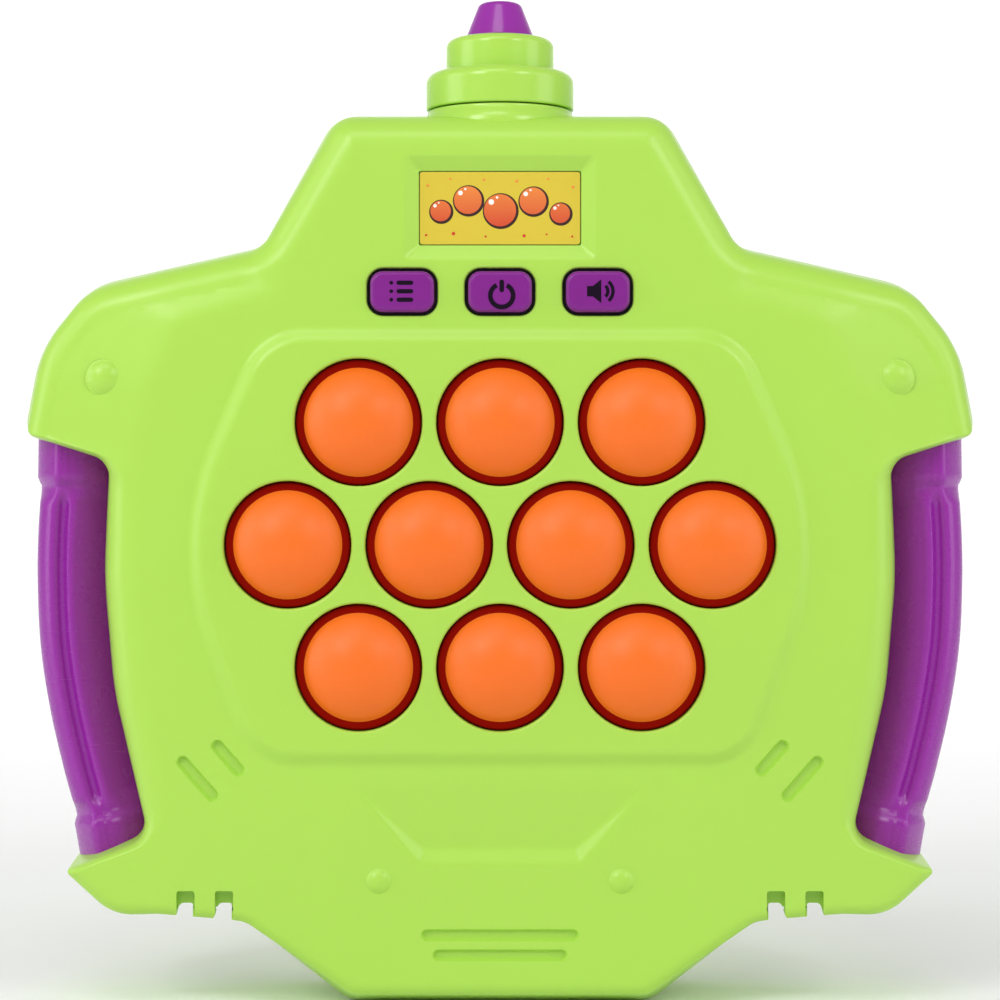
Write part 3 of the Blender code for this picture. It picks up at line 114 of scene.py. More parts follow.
def length(name, description, millimetres):
    """A size property, shown in the scene's unit of length."""
    return FloatProperty(
        name=name, description=description, default=millimetres * MM, min=0.0,
        unit="LENGTH", precision=5,
    )


def power(name, description, watts):
    """A property for a light's power."""
    return FloatProperty(
        name=name, description=description, default=watts, min=0.0, unit="POWER")


def colour(name, description, shares):
    """A colour property, given as shares of red, green and blue on a screen."""
    linear = [share ** GAMMA for share in shares]
    return FloatVectorProperty(
        name=name, description=description, default=linear, min=0.0, max=1.0,
        size=3, subtype="COLOR",
    )


def portion(name, description, default):
    """A property between nothing and all."""
    return FloatProperty(
        name=name, description=description, default=default, min=0.0, max=1.0,
        subtype="FACTOR",
    )


class BubblePopCaseSizes(bpy.types.PropertyGroup):
    """Edges and raised or sunk details of the green case."""

    draft: length("Draft", "How far the side walls lean in towards the face", 1.4)
    edge_round: length("Edge rounding", "Largest rounding of the face's edge", 6.0)
    pad_rise: length("Pad rise", "Height of the raised pad round the bubbles", 1.2)
    pad_bevel: length("Pad bevel", "Width of the pad's sloped border", 3.2)
    shoulder_drop: length("Shoulder drop", "How much lower the shoulders end", 3.2)
    scoop_depth: length("Scoop depth", "Depth of the chin's scoop at its step", 1.2)
    groove_depth: length("Groove depth", "Depth of the level and slanted grooves", 1.0)
    hole_lip: length("Hole lip", "Rounding of the bubble holes' rims", 0.55)


class BubblePopBubbleSizes(bpy.types.PropertyGroup):
    """Silicone domes and the holes that they stand in."""

    radius: length("Dome radius", "Radius of a dome where it meets its skirt", 9.48)
    hole_radius: length("Hole radius", "Radius of the hole round a dome", 11.1)
    wall: length("Dome wall", "Thickness of the silicone", 1.3)
    stem_radius: length("Stem radius", "Radius of the stem over the contact", 2.0)
    segments: IntProperty(
        name="Segments", description="Sides of each turned dome", default=72, min=12)


class BubblePopControlSizes(bpy.types.PropertyGroup):
    """Buttons, window and the marks on them."""

    button_width: length("Button width", "Width of a cap", 11.1)
    button_height: length("Button height", "Height of a cap", 7.1)
    button_corner: length("Button corner", "Corner radius of a cap", 2.2)
    button_round: length("Button rounding", "Rounding of a cap's rim", 0.85)
    button_gap: length("Button gap", "Dark gap between a cap and the case", 0.6)
    mark_stroke: length("Mark stroke", "Line width of the marks on the caps", 0.8)
    window_bevel: length("Window bevel", "Width of the sloped window frame", 2.7)


class BubblePopGripSizes(bpy.types.PropertyGroup):
    """Side grips with a collar at each end."""

    half_width: length("Half width", "Half the grip's width seen from the front", 5.5)
    half_depth: length("Half depth", "Half the grip's depth", 9.6)
    collar: FloatProperty(
        name="Collar", description="Size of the collar against the grip",
        default=1.12, min=1.0, max=1.3)
    collar_length: length("Collar length", "Length of a collar along the grip", 6.4)


class BubblePopCrownSizes(bpy.types.PropertyGroup):
    """Two-step knob and its tip."""

    lower_radius: length("Lower radius", "Radius of the lower step", 13.25)
    upper_radius: length("Upper radius", "Radius of the upper step", 9.65)
    tip_base: length("Tip base", "Radius of the tip at its foot", 6.1)
    tip_top: length("Tip top", "Radius of the tip at its head", 3.7)
    segments: IntProperty(
        name="Segments", description="Sides of the turned steps", default=120, min=24)


class BubblePopColours(bpy.types.PropertyGroup):
    """Colours of the plastics, the silicone and the print."""

    green: colour("Green", "Case plastic", (0.668, 0.852, 0.325))
    purple: colour("Purple", "Grips, buttons and tip", (0.575, 0.165, 0.615))
    orange: colour("Orange", "Silicone domes", (0.965, 0.440, 0.100))
    # The web's dark red is painted shade: the orange silicone darkened to the shade in the
    # holes round the domes
    web_painted_shade: colour("Web", "Silicone between the domes", (0.540, 0.070, 0.000))
    yellow: colour("Yellow", "Window plate", (0.845, 0.750, 0.235))
    mark: colour("Mark", "Marks on the caps", (0.100, 0.020, 0.125))
    board: colour("Board", "Solder mask of the board", (0.040, 0.300, 0.130))
    grain: portion("Grain", "Strength of the plastics' fine grain", 0.35)


class BubblePopStageSizes(bpy.types.PropertyGroup):
    """Camera and lights."""

    camera_distance: length("Camera distance", "From the lens to the parting plane", 483)
    camera_height: length("Camera height", "Height of the lens", 88.9)
    lens: FloatProperty(
        name="Lens", description="Focal length in millimetres", default=96.6, min=10.0)
    key_power: power("Key power", "Power of the light up on the left", 4.0)
    side_power: power("Side power", "Power of the left softbox", 2.4)
    backdrop_power: power("Backdrop power", "Power of the light on the backdrop", 8.0)
    world_strength: portion("World strength", "Brightness of the surroundings", 0.41)


# Case corners down the right side, top to bottom. Each row is the place as shares of the
# half width and the height, the corner's radius as a share of the half width, its arc
# points, how many times the set edge rounding and draft it has, and how much of an inset
# the side below it takes.
CASE_CORNER_SHARES = (
    (0.345, 1.000, 0.080, 12, 1.00, 1.20, 1.00),
    (0.499, 0.851, 0.050, 8, 0.95, 1.00, 1.00),
    (0.859, 0.8065, 0.160, 14, 0.85, 1.00, 1.00),
    (0.966, 0.735, 0.250, 10, 0.80, 1.20, 1.00),
    (1.000, 0.637, 0.042, 9, 0.62, 1.50, 0.22),
    (0.823, 0.607, 0.024, 7, 0.80, 1.50, 1.00),
    (0.834, 0.478, 0.900, 12, 0.95, 1.50, 1.00),
    (0.813, 0.346, 0.700, 12, 0.95, 1.50, 1.00),
    (0.745, 0.191, 0.020, 7, 0.60, 1.60, 0.40),
    (0.935, 0.152, 0.041, 11, 0.42, 1.90, 1.00),
    (0.798, 0.089, 0.130, 12, 0.42, 1.60, 1.00),
    (0.700, 0.094, 0.100, 7, 0.36, 1.30, 1.00),
    (0.559, 0.089, 0.035, 7, 0.34, 1.20, 1.00),
    (0.529, 0.085, 0.035, 7, 0.38, 1.40, 1.00),
    (0.310, 0.000, 0.082, 12, 0.42, 1.70, 1.00),
)

# Raised pad round the bubbles: corners down the right side as shares of its half width
# and half height, each corner's radius as a share of the half width and its arc points.
# Its border has points at a spacing and rises in steps
PAD_WIDTH = 108.8
PAD_HEIGHT = 77.0
PAD_CENTRE_Y = 80.75
PAD_SPACING = 2.2
PAD_STEPS = 8
PAD_CORNER_SHARES = (
    (0.772, 1.000, 0.230, 18),
    (1.072, 0.020, 0.900, 26),
    (0.803, -1.000, 0.210, 14),
)

# Line where the flat of the face ends towards a shoulder, on the right and from top to
# foot, how much further up and down counts than across when a point's way to the line is
# measured, how far the slope runs and how softly it starts
SHOULDER_LINE = (
    (33.0, 172.0), (37.0, 124.6), (54.5, 119.5), (59.9, 108.0), (61.6, 98.0),
    (66.0, 86.0), (74.0, 60.0),
)
SHOULDER_STRETCH = 1.6
SHOULDER_RUN = 17.0
SHOULDER_SOFTNESS = 3.5

# Chin scoop: its edges and how softly its sides meet
SCOOP_TOP_Y = 39.6
SCOOP_STEP_Y = 28.3
SCOOP_FOOT_Y = 25.6
SCOOP_TOP_HALF = 26.0
SCOOP_STEP_HALF = 16.4
SCOOP_SIDE = 2.6
SCOOP_BLEND = 0.12

# Grooves, each with its run, width, place and angle, and what one is like across: how far
# each line lies outside its edge and the share of the depth there
GROOVE_SLANT = radians(-131.4)
GROOVES = (
    (27.3, 1.9, 0.0, 13.2, 0.0), (23.3, 1.9, 0.0, 9.7, 0.0),
    (9.8, 2.1, 52.6, 40.4, GROOVE_SLANT), (7.6, 2.1, 47.3, 44.0, GROOVE_SLANT),
)
GROOVE_LINES = (
    (0.30, 0), (0.12, 0.05), (-0.06, 0.3), (-0.22, 0.75), (-0.40, 0.97), (-0.62, 1.0),
)

# Notches in the feet, how far their cutters reach past the case, the solid behind them
# with its low edge at several heights, and the nick through the edge under each
NOTCH_XS = (48.0, 54.7)
NOTCH_WIDTH = 3.2
NOTCH_TOP_Y = 20.9
NOTCH_LOW_Y = 5.0
NOTCH_CORNER = 0.5
NOTCH_FLOOR_Z = 12.0
PAST = 3.0
RIB_PAST_SIDE = 2.2
RIB_PAST_TOP = 1.2
NOTCH_RIB_ROWS = (
    (15.5, BACK_Z + WALL + 0.05), (15.5, 2.0), (17.2, 5.0), (17.9, FACE_Z - WALL + 0.02),
)
NICK_TOP_Y = 18.5
NICK_SPREAD = 1.078
NICK_OUTLINE = (
    (-0.50, 5.0), (0.54, 5.0), (0.54, 15.6), (0.50, 16.0), (0.34, 17.0), (0.24, 18.0),
    (0.12, NICK_TOP_Y - 0.1), (0.0, NICK_TOP_Y), (-0.40, NICK_TOP_Y),
    (-0.50, NICK_TOP_Y - 0.2),
)

# Even triangles over the flats: their side, the height of a row as a share of it, how
# far the rows keep off round numbers, and the room round an outline's own points, at
# most and as a share of the side
GRID = 1.7
ROW_SHARE = 0.866
OFF_X, OFF_Y = 0.0071, 0.0137
CLEAR = 0.55
CLEAR_SHARE = 0.7

# Finer triangles over the chin's scoop: left, low, right and high edges and their side
FINER = ((-28.0, 23.0, 28.0, 39.2, 0.55),)

# Sides of a bubble's hole, the rounding of a button's hole, the window frame's corner and
# how much it grows outwards, and the frame from the face down: share of its bevel, how
# much further out, and share of its depth
HOLE_SIDES = 72
BUTTON_LIP = 0.4
FRAME_CORNER, FRAME_GROWTH = 0.35, 0.22
WINDOW_FRAME = (
    (1, 0.35, 0), (1, 0.08, -0.015), (1, -0.22, -0.11), (0, 0.50, -0.89),
    (0, 0.30, -0.98), (0, 0.16, -1.0),
)

# Case walls: spacing of points, the chamfer at the parting line, the parts of the wall's
# height that get a ring, the steps of the edge's rounding, the part of the height up to
# which the foot doesn't lean, how far in the inside is at the parting line and above it,
# and the back's own rounding and share of the draft
CASE_SPACING = 2.4
PARTING_IN, PARTING_UP = 0.28, 0.22
WALL_PARTS = (0.2, 0.42, 0.6, 0.8, 1.0)
EDGE_TURNS = 9
FOOT_START = 0.42
RIM_INSET = 1.6
INNER_INSET = 1.5
BACK_EDGE_ROUND = 3.0
BACK_LEAN_SHARE = 0.5

# Spacing that is longer than any side, so that a side gets no points of its own, and the
# most of a side that a corner's rounding takes up
UNSPACED = 200.0
SIDE_SHARE = 0.48

# Least radius of a corner that is moved inwards
TIGHTEST = 0.6

# Room between faces that would else lie in one plane
SLIVER = 0.02

# Sides of the small turned pieces
SIDES = {"plinth": 96, "recess": 40, "rivet": 40, "stem": 24, "screw": 28, "cell": 48}


def corner_arc(before, here, after, radius, count):
    """Points of the arc that rounds a corner, limited by the sides that meet there."""
    corner = Vector(here)
    back = Vector(before) - corner
    ahead = Vector(after) - corner
    half_angle = back.angle(ahead) / 2
    longest = min(back.length, ahead.length) * SIDE_SHARE
    reach = min(radius / tan(half_angle), longest)
    inwards = (back.normalized() + ahead.normalized()).normalized()
    centre = corner + inwards * reach / cos(half_angle)
    start = corner + back.normalized() * reach - centre
    end = corner + ahead.normalized() * reach - centre
    sweep = (atan2(end.y, end.x) - atan2(start.y, start.x) + pi) % (2 * pi) - pi
    points = []
    for step in range(count):
        points.append(centre + Matrix.Rotation(sweep * step / (count - 1), 2) @ start)
    return points


def side_chain(corners):
    """Right-hand corners with the mirror image of each end one added."""
    first, last = corners[0], corners[-1]
    inner = [corner[:2] for corner in corners]
    return [(-first[0], first[1])] + inner + [(-last[0], last[1])]


def drawn_in(corners, insets):
    """Right-hand corners moved inwards, top to bottom, with radii to suit."""
    chain = side_chain(corners)
    moved = []
    for index, (corner, inset) in enumerate(zip(corners, insets)):
        before, here, after = (Vector(point) for point in chain[index:index + 3])
        enter = (here - before).normalized()
        leave = (after - here).normalized()
        first = Vector((enter.y, -enter.x))
        second = Vector((leave.y, -leave.x))
        above = inset * (corners[index - 1][4] if index else 1.0)
        below = inset * corner[4]
        shared = first.dot(second)
        outward = enter.x * leave.y - enter.y * leave.x < 0
        radius = corner[2] - inset if outward else corner[2] + inset
        x, y = here + (first + second) * min(above, below) / (1 + shared)
        if above != below:
            more = first - second * shared if above > below else second - first * shared
            x, y = Vector((x, y)) + more * abs(above - below) / (1 - shared ** 2)
        moved.append((x, y, max(radius, TIGHTEST), corner[3], corner[4]))
    return moved


def half_outline(corners, steps):
    """Right half of an outline, with a number of points on each straight run."""
    chain = side_chain(corners)
    points = [Vector((0, corners[0][1]))]
    for index, corner in enumerate(corners):
        before, here, after = chain[index:index + 3]
        arc = corner_arc(before, here, after, corner[2], corner[3])
        points += between(points[-1], arc[0], steps[index]) + arc
    foot = Vector((0, corners[-1][1]))
    return points + between(points[-1], foot, steps[-1]) + [foot]


def between(start, end, count):
    """Evenly spaced points between two others."""
    return [start.lerp(end, (step + 1) / (count + 1)) for step in range(count)]


def run_steps(corners, spacing):
    """How many points each straight run of a half outline gets."""
    plain = half_outline(corners, [0] * (len(corners) + 1))
    steps = []
    index = 0
    for corner in corners:
        steps.append(int((plain[index + 1] - plain[index]).length / spacing))
        index += corner[3]
    return steps + [int((plain[-1] - plain[-2]).length / spacing)]


def along(values, corners, steps):
    """A value for each point of a half outline, from one for each corner."""
    spread = [values[0]]
    for index, corner in enumerate(corners):
        last = spread[-1]
        for step in range(steps[index]):
            spread.append(last + (values[index] - last) * (step + 1) / (steps[index] + 1))
        spread += [values[index]] * corner[3]
    return spread + [values[-1]] * (steps[-1] + 1)


def mirrored(half):
    """Closed ring from its right half, which starts and ends on the middle line."""
    return [tuple(point) for point in half] + [
        (-point[0], *point[1:]) for point in reversed(half[1:-1])]


def spaced(points, spacing):
    """Closed outline with points added along its long sides."""
    dense = []
    for index, point in enumerate(points):
        start, end = Vector(point), Vector(points[(index + 1) % len(points)])
        dense.append(start)
        dense += between(start, end, int((end - start).length / spacing))
    return dense


def rounded_rectangle(width, height, radius, centre=(0, 0), count=6, spacing=1.6):
    """Outline of a rectangle with rounded corners."""
    corners = []
    for x_sign, y_sign in ((1, 1), (-1, 1), (-1, -1), (1, -1)):
        corners.append((centre[0] + x_sign * width / 2, centre[1] + y_sign * height / 2))
    points = []
    for index, corner in enumerate(corners):
        points += corner_arc(corners[index - 1], corner, corners[(index + 1) % 4],
                             radius, count)
    return spaced(points, spacing)


def circle(radius, centre=(0, 0), count=48, start=0.0, sweep=2 * pi):
    """Points round a circle, or along a part of one with both of its ends."""
    steps = count if abs(sweep - 2 * pi) < 1e-6 else count - 1
    points = []
    for step in range(count):
        angle = start + sweep * step / steps
        points.append(Vector((centre[0] + radius * cos(angle),
                              centre[1] + radius * sin(angle))))
    return points


def slot(run, width, centre, angle=0.0, count=9, spacing=1.2):
    """Outline of a slot with round ends."""
    turn = Matrix.Rotation(angle, 2)
    points = []
    for side in (0, 1):
        middle = (run - width) / 2 * (1 - 2 * side)
        for point in circle(width / 2, (middle, 0), count, side * pi - pi / 2, pi):
            points.append(turn @ point + Vector(centre))
    return spaced(points, spacing)


def smooth_step(value):
    """Soft change from 0 to 1."""
    value = min(max(value, 0.0), 1.0)
    return value * value * (3 - 2 * value)


def smooth_min(first, second, blend):
    """Smaller of two values, with the change between them rounded."""
    share = min(max(0.5 + 0.5 * (second - first) / blend, 0.0), 1.0)
    return second + (first - second) * share - blend * share * (1 - share)


def crossings(ring, y):
    """Where a closed ring crosses a level line, from left to right."""
    places = []
    for index, point in enumerate(ring):
        before = ring[index - 1]
        if (point[1] > y) != (before[1] > y):
            share = (y - before[1]) / (point[1] - before[1])
            places.append(before[0] + share * (point[0] - before[0]))
    return sorted(places)


def within(places, x):
    """Whether a point of that level line is inside the ring."""
    return sum(1 for place in places if place < x) % 2 == 1


def bubble_places():
    """Centres of the bubbles, row by row from the top."""
    row_pitch = BUBBLE_PITCH * sin(pi / 3)
    places = []
    for row, count in enumerate(BUBBLE_ROW_COUNTS):
        y = BUBBLE_CENTRE_Y + row_pitch * (1 - row)
        for column in range(count):
            places.append((BUBBLE_PITCH * (column - (count - 1) / 2), y))
    return places


def button_places():
    """Centres of the buttons, left to right."""
    return [(BUTTON_PITCH * (index - 1), BUTTON_CENTRE_Y) for index in range(3)]


# Mesh work


def ring_of(shape, points):
    """Vertices at a ring's points."""
    return [shape.verts.new(point) for point in points]


def lifted(ring, height):
    """Flat ring put at one height, or at a height for each point."""
    if isinstance(height, (int, float)):
        height = [height] * len(ring)
    return [(point[0], point[1], z) for point, z in zip(ring, height)]


def bridge(shape, first, second):
    """Faces between two closed rings of as many vertices."""
    for index, vertex in enumerate(first):
        following = (index + 1) % len(first)
        shape.faces.new((vertex, first[following], second[following], second[index]))


def chain(shape, start, rings, closed=True):
    """Faces from a ring of vertices through rings of points. Gives the last ring."""
    for points in rings:
        following = ring_of(shape, points)
        bridge(shape, start, following)
        start = following
    if closed:
        shape.faces.new(start)
    return start


def mesh_from(shape, name):
    """Mesh from a closed shape, with its faces turned outwards."""
    bmesh.ops.remove_doubles(shape, verts=shape.verts, dist=1e-5)
    bmesh.ops.recalc_face_normals(shape, faces=shape.faces)
    mesh = bpy.data.meshes.new(name)
    shape.to_mesh(mesh)
    shape.free()
    return mesh


def loft(name, rings):
    """Closed skin through rings of as many points each."""
    shape = bmesh.new()
    first = ring_of(shape, rings[0])
    shape.faces.new(first)
    chain(shape, first, rings[1:])
    return mesh_from(shape, name)


def turned(name, profile, segments):
    """Solid turned about Z from a profile that starts and ends on the axis."""
    shape = bmesh.new()
    loops = []
    for radius, height in profile:
        if radius < 1e-6:
            loops.append([shape.verts.new((0, 0, height))])
        else:
            loops.append(ring_of(shape, lifted(circle(radius, count=segments), height)))
    for lower, upper in zip(loops, loops[1:]):
        for index in range(segments):
            after = (index + 1) % segments
            corners = [lower[index % len(lower)], lower[after % len(lower)],
                       upper[after % len(upper)], upper[index % len(upper)]]
            shape.faces.new(list(dict.fromkeys(corners)))
    return mesh_from(shape, name)


def arc(centre, radius, start, end, steps):
    """Points of a profile along an arc, from one angle in degrees to another."""
    points = []
    for step in range(steps + 1):
        angle = radians(start + (end - start) * step / steps)
        points.append((centre[0] + radius * cos(angle), centre[1] + radius * sin(angle)))
    return points


def sheet(shape, outer, holes, lines, lift_at, height_at, wall, finer=()):
    """Fills a region with even triangles on two levels, one wall apart.

    Rings and lines are lists of (x, y, lift), and no point is added where lift_at gives
    None. Returns the top and the bottom vertices of the outer ring and of each hole, in
    the order of their points.
    """
    points, lifts, edges = [], [], []
    for ring in [outer, *holes, *lines]:
        first = len(points)
        points += [Vector(point[:2]) for point in ring]
        lifts += [point[2] for point in ring]
        edges += [(first + i, first + (i + 1) % len(ring)) for i in range(len(ring))]
    tree = KDTree(len(points))
    for index, point in enumerate(points):
        tree.insert((*point, 0), index)
    tree.balance()
    fixed = len(points)
    patches = [(*box_of(outer), GRID)] + list(finer)
    for number, (left, low, right, high, step) in enumerate(patches):
        rows = int((high - low) / (step * ROW_SHARE))
        for row in range(rows + 1):
            y = low + row * step * ROW_SHARE + OFF_Y
            bounds = crossings(outer, y)
            cuts = [crossings(hole, y) for hole in holes]
            for column in range(int((right - left) / step) + 1):
                x = left + (column + 0.5 * (row % 2)) * step + OFF_X
                if any(a <= x <= c and b <= y <= d
                       for a, b, c, d, _ in patches[number + 1:]):
                    continue
                if not within(bounds, x) or any(within(cut, x) for cut in cuts):
                    continue
                lift = lift_at(x, y)
                if lift is None or tree.find((x, y, 0))[2] < min(CLEAR, CLEAR_SHARE * step):
                    continue
                points.append(Vector((x, y)))
                lifts.append(lift)
    result = delaunay_2d_cdt(points, edges, [], 0, 1e-6, True)
    flat, triangles, origins = result[0], result[2], result[3]
    top, bottom, moved = [], [], {}
    for index, (point, origin) in enumerate(zip(flat, origins)):
        lift = lifts[origin[0]] if origin else 0.0
        base = height_at(*point)
        top.append(shape.verts.new((*point, base + lift)))
        bottom.append(shape.verts.new((*point, base - wall)))
        for source in origin:
            if source < fixed:
                moved[source] = index
    for triangle in triangles:
        x, y = sum((flat[i] for i in triangle), Vector((0, 0))) / len(triangle)
        inside = within(crossings(outer, y), x)
        if inside and not any(within(crossings(hole, y), x) for hole in holes):
            shape.faces.new([top[i] for i in triangle])
            shape.faces.new([bottom[i] for i in reversed(triangle)])
    loops = []
    first = 0
    for ring in [outer, *holes]:
        places = [moved[first + i] for i in range(len(ring))]
        loops.append(([top[i] for i in places], [bottom[i] for i in places]))
        first += len(ring)
    for vertex in [v for v in shape.verts if not v.link_faces]:
        if not any(vertex in pair[0] or vertex in pair[1] for pair in loops):
            shape.verts.remove(vertex)
    return loops


def box_of(ring):
    """Left, low, right and high edges of a ring."""
    xs = [point[0] for point in ring]
    ys = [point[1] for point in ring]
    return min(xs), min(ys), max(xs), max(ys)


def linked(name, data):
    """New object in the scene."""
    item = bpy.data.objects.new(name, data)
    bpy.context.scene.collection.objects.link(item)
    return item


def plain_mesh(item, *helpers):
    """Mesh of an object with its modifiers applied. It and its helpers are removed."""
    bpy.context.view_layer.update()
    graph = bpy.context.evaluated_depsgraph_get()
    mesh = bpy.data.meshes.new_from_object(item.evaluated_get(graph))
    for thing in (item, *helpers):
        bpy.data.objects.remove(thing, do_unlink=True)
    return mesh


def stood_up(name, mesh, materials, body, nodes):
    """A finished piece: stood up, smoothed, and riding on the CAD body that moves it."""
    mesh.name = name
    mesh.transform(STAND_UP)
    for material in materials:
        mesh.materials.append(material)
    mesh.shade_smooth()
    mesh.set_sharp_from_angle(angle=SHARP_ANGLE)
    item = linked(name, mesh)
    even = item.modifiers.new("even shading", "WEIGHTED_NORMAL")
    even.mode = "FACE_AREA_WITH_ANGLE"
    even.keep_sharp = True
    if body:
        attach(item, body)
    if nodes:
        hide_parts(*nodes)
    return item


def cut_from(mesh, cutters):
    """Mesh with closed shapes cut away from it."""
    item = linked("cut", mesh)
    helpers = [linked("cutter", cutter) for cutter in cutters]
    for helper in helpers:
        modifier = item.modifiers.new("cut", "BOOLEAN")
        modifier.operation = "DIFFERENCE"
        modifier.solver = "EXACT"
        modifier.object = helper
    return plain_mesh(item, *helpers)


def shoulder_lean(x, y, drop):
    """How much lower the face is towards a shoulder."""
    here = Vector((abs(x), y * SHOULDER_STRETCH))
    nearest = None
    for start, end in zip(SHOULDER_LINE, SHOULDER_LINE[1:]):
        low = Vector((start[0], start[1] * SHOULDER_STRETCH))
        high = Vector((end[0], end[1] * SHOULDER_STRETCH))
        run = high - low
        share = min(max((here - low).dot(run) / run.length_squared, 0), 1)
        away = here - (low + run * share)
        side = run.x * away.y - run.y * away.x
        if nearest is None or away.length < nearest[0] - 1e-9:
            nearest = (away.length, side > 0)
    if not nearest[1]:
        return 0.0
    far = nearest[0]
    soft = SHOULDER_SOFTNESS
    lean = far * far / (2 * soft) if far < soft else far - soft / 2
    return drop * lean / (SHOULDER_RUN - soft / 2)


def scoop_lift(x, y, depth):
    """How much lower the face is inside the chin's scoop."""
    if not SCOOP_FOOT_Y < y < SCOOP_TOP_Y:
        return 0.0
    floor = depth * (SCOOP_TOP_Y - y) / (SCOOP_TOP_Y - SCOOP_STEP_Y)
    step = depth * (y - SCOOP_FOOT_Y) / (SCOOP_STEP_Y - SCOOP_FOOT_Y)
    edge = Vector((SCOOP_TOP_HALF - SCOOP_STEP_HALF, SCOOP_TOP_Y - SCOOP_STEP_Y))
    from_step = Vector((abs(x) - SCOOP_STEP_HALF, y - SCOOP_STEP_Y))
    inwards = (edge.x * from_step.y - edge.y * from_step.x) / edge.length
    side = depth * inwards / SCOOP_SIDE
    return -max(smooth_min(
        smooth_min(floor, step, SCOOP_BLEND), side, SCOOP_BLEND), 0.0)


def case_rows():
    """Corners of the case, with the shares of rounding and of lean at each."""
    corners, rounds, leans = [], [], []
    for x, y, radius, count, rounding, lean, below in CASE_CORNER_SHARES:
        corners.append(
            (x * HALF_WIDTH, y * BODY_HEIGHT, radius * HALF_WIDTH, count, below))
        rounds.append(rounding)
        leans.append(lean)
    return corners, rounds, leans


def side_rings(corners, steps, rounds, leans, tops, far_z, near_z):
    """Rings of a case half from the parting line to the flat, out of the face or back.

    The heights run from near_z at the parting line to far_z at the flat, and tops are
    how far short of far_z each point of the outline ends.
    """
    away = 1 if far_z > near_z else -1
    depth = abs(far_z - near_z)
    round_here = along(rounds, corners, steps)
    lean_angles = [atan(lean / (depth - size)) for lean, size in zip(leans, rounds)]
    angle_here = along(lean_angles, corners, steps)
    rings = []

    def ring(insets, heights):
        """Add a ring, drawn in and at a height for each point."""
        half = half_outline(drawn_in(corners, insets), steps)
        rings.append(mirrored([
            (x, y, near_z + away * height) for (x, y), height in zip(half, heights)]))

    ends = [depth - top - size * (1 - sin(angle))
            for top, size, angle in zip(tops, round_here, angle_here)]
    ring([PARTING_IN] * len(corners), [0.0] * len(ends))
    ring([0.0] * len(corners), [PARTING_UP] * len(ends))
    for part in WALL_PARTS:
        insets = []
        for index, lean in enumerate(leans):
            start = FOOT_START if index == len(leans) - 1 else 0.0
            insets.append(lean * max(0.0, (part - start) / (1 - start)))
        ring(insets, [PARTING_UP + (end - PARTING_UP) * part for end in ends])
    for turn in range(1, EDGE_TURNS + 1):
        insets, heights = [], []
        for lean, size, low in zip(leans, rounds, lean_angles):
            angle = low + (pi / 2 - low) * turn / EDGE_TURNS
            insets.append(lean + size * (cos(low) - cos(angle)))
        for top, size, low in zip(tops, round_here, angle_here):
            angle = low + (pi / 2 - low) * turn / EDGE_TURNS
            heights.append(depth - top - size * (1 - sin(angle)))
        ring(insets, heights)
    return rings


def inner_rings(corners, steps, rounds, leans, tops, far_z, near_z):
    """Inside rings of a case half: at the parting line and below the edge's rounding."""
    away = 1 if far_z > near_z else -1
    round_here = along(rounds, corners, steps)
    rim = half_outline(drawn_in(corners, [RIM_INSET] * len(corners)), steps)
    wall = half_outline(
        drawn_in(corners, [lean + INNER_INSET for lean in leans]), steps)
    heights = [far_z - away * (top + size) for top, size in zip(tops, round_here)]
    return (mirrored([(x, y, near_z) for x, y in rim]),
            mirrored([(x, y, z) for (x, y), z in zip(wall, heights)]))


def half_case(name, corners, steps, rounds, leans, tops, far_z, near_z, fill):
    """Closed skin of one half of the case. fill makes its flat and gives the loops."""
    shape = bmesh.new()
    rings = side_rings(corners, steps, rounds, leans, tops, far_z, near_z)
    rim, wall = inner_rings(corners, steps, rounds, leans, tops, far_z, near_z)
    outer_top, outer_bottom = fill(shape, rings[-1])
    last = outer_top
    for points in reversed(rings[:-1]):
        following = ring_of(shape, points)
        bridge(shape, last, following)
        last = following
    inside = chain(shape, outer_bottom, [wall, rim], closed=False)
    bridge(shape, last, inside)
    return mesh_from(shape, name)


def lip(outline_at, size, steps=5):
    """Rings of a hole's rounded rim, each an outline drawn out and its lift."""
    rings = []
    for step in range(steps + 1):
        angle = pi / 2 * step / steps
        rings.append((outline_at(size * (1 - sin(angle))), -size * (1 - cos(angle))))
    return rings


def face_lines(case, rise):
    """Lines of the pad's border and of the grooves, and each slope's edges and lift."""
    pad_corners = []
    for x, y, radius, count in PAD_CORNER_SHARES:
        pad_corners.append((x * PAD_WIDTH / 2, PAD_CENTRE_Y + y * PAD_HEIGHT / 2,
                            radius * PAD_WIDTH / 2, count, 1.0))
    pad_steps = run_steps(pad_corners, PAD_SPACING)
    lines = []
    for step in range(PAD_STEPS + 1):
        inset = case.pad_bevel / MM * step / PAD_STEPS
        ring = mirrored(half_outline(
            drawn_in(pad_corners, [inset] * len(pad_corners)), pad_steps))
        lift = rise * smooth_step(step / PAD_STEPS)
        lines.append([(x, y, lift) for x, y in ring])
    slopes = [(lines[0], lines[-1], rise)]
    depth = case.groove_depth / MM
    for run, width, x, y, angle in GROOVES:
        for sign in ((1, -1) if x else (1,)):
            first = len(lines)
            for wider, share in GROOVE_LINES:
                ring = slot(run + 2 * wider, width + 2 * wider, (sign * x, y),
                            angle if sign > 0 else pi - angle)
                lines.append([(*point, -depth * share) for point in ring])
            slopes.append((lines[first], lines[-1], -depth))
    return lines, slopes


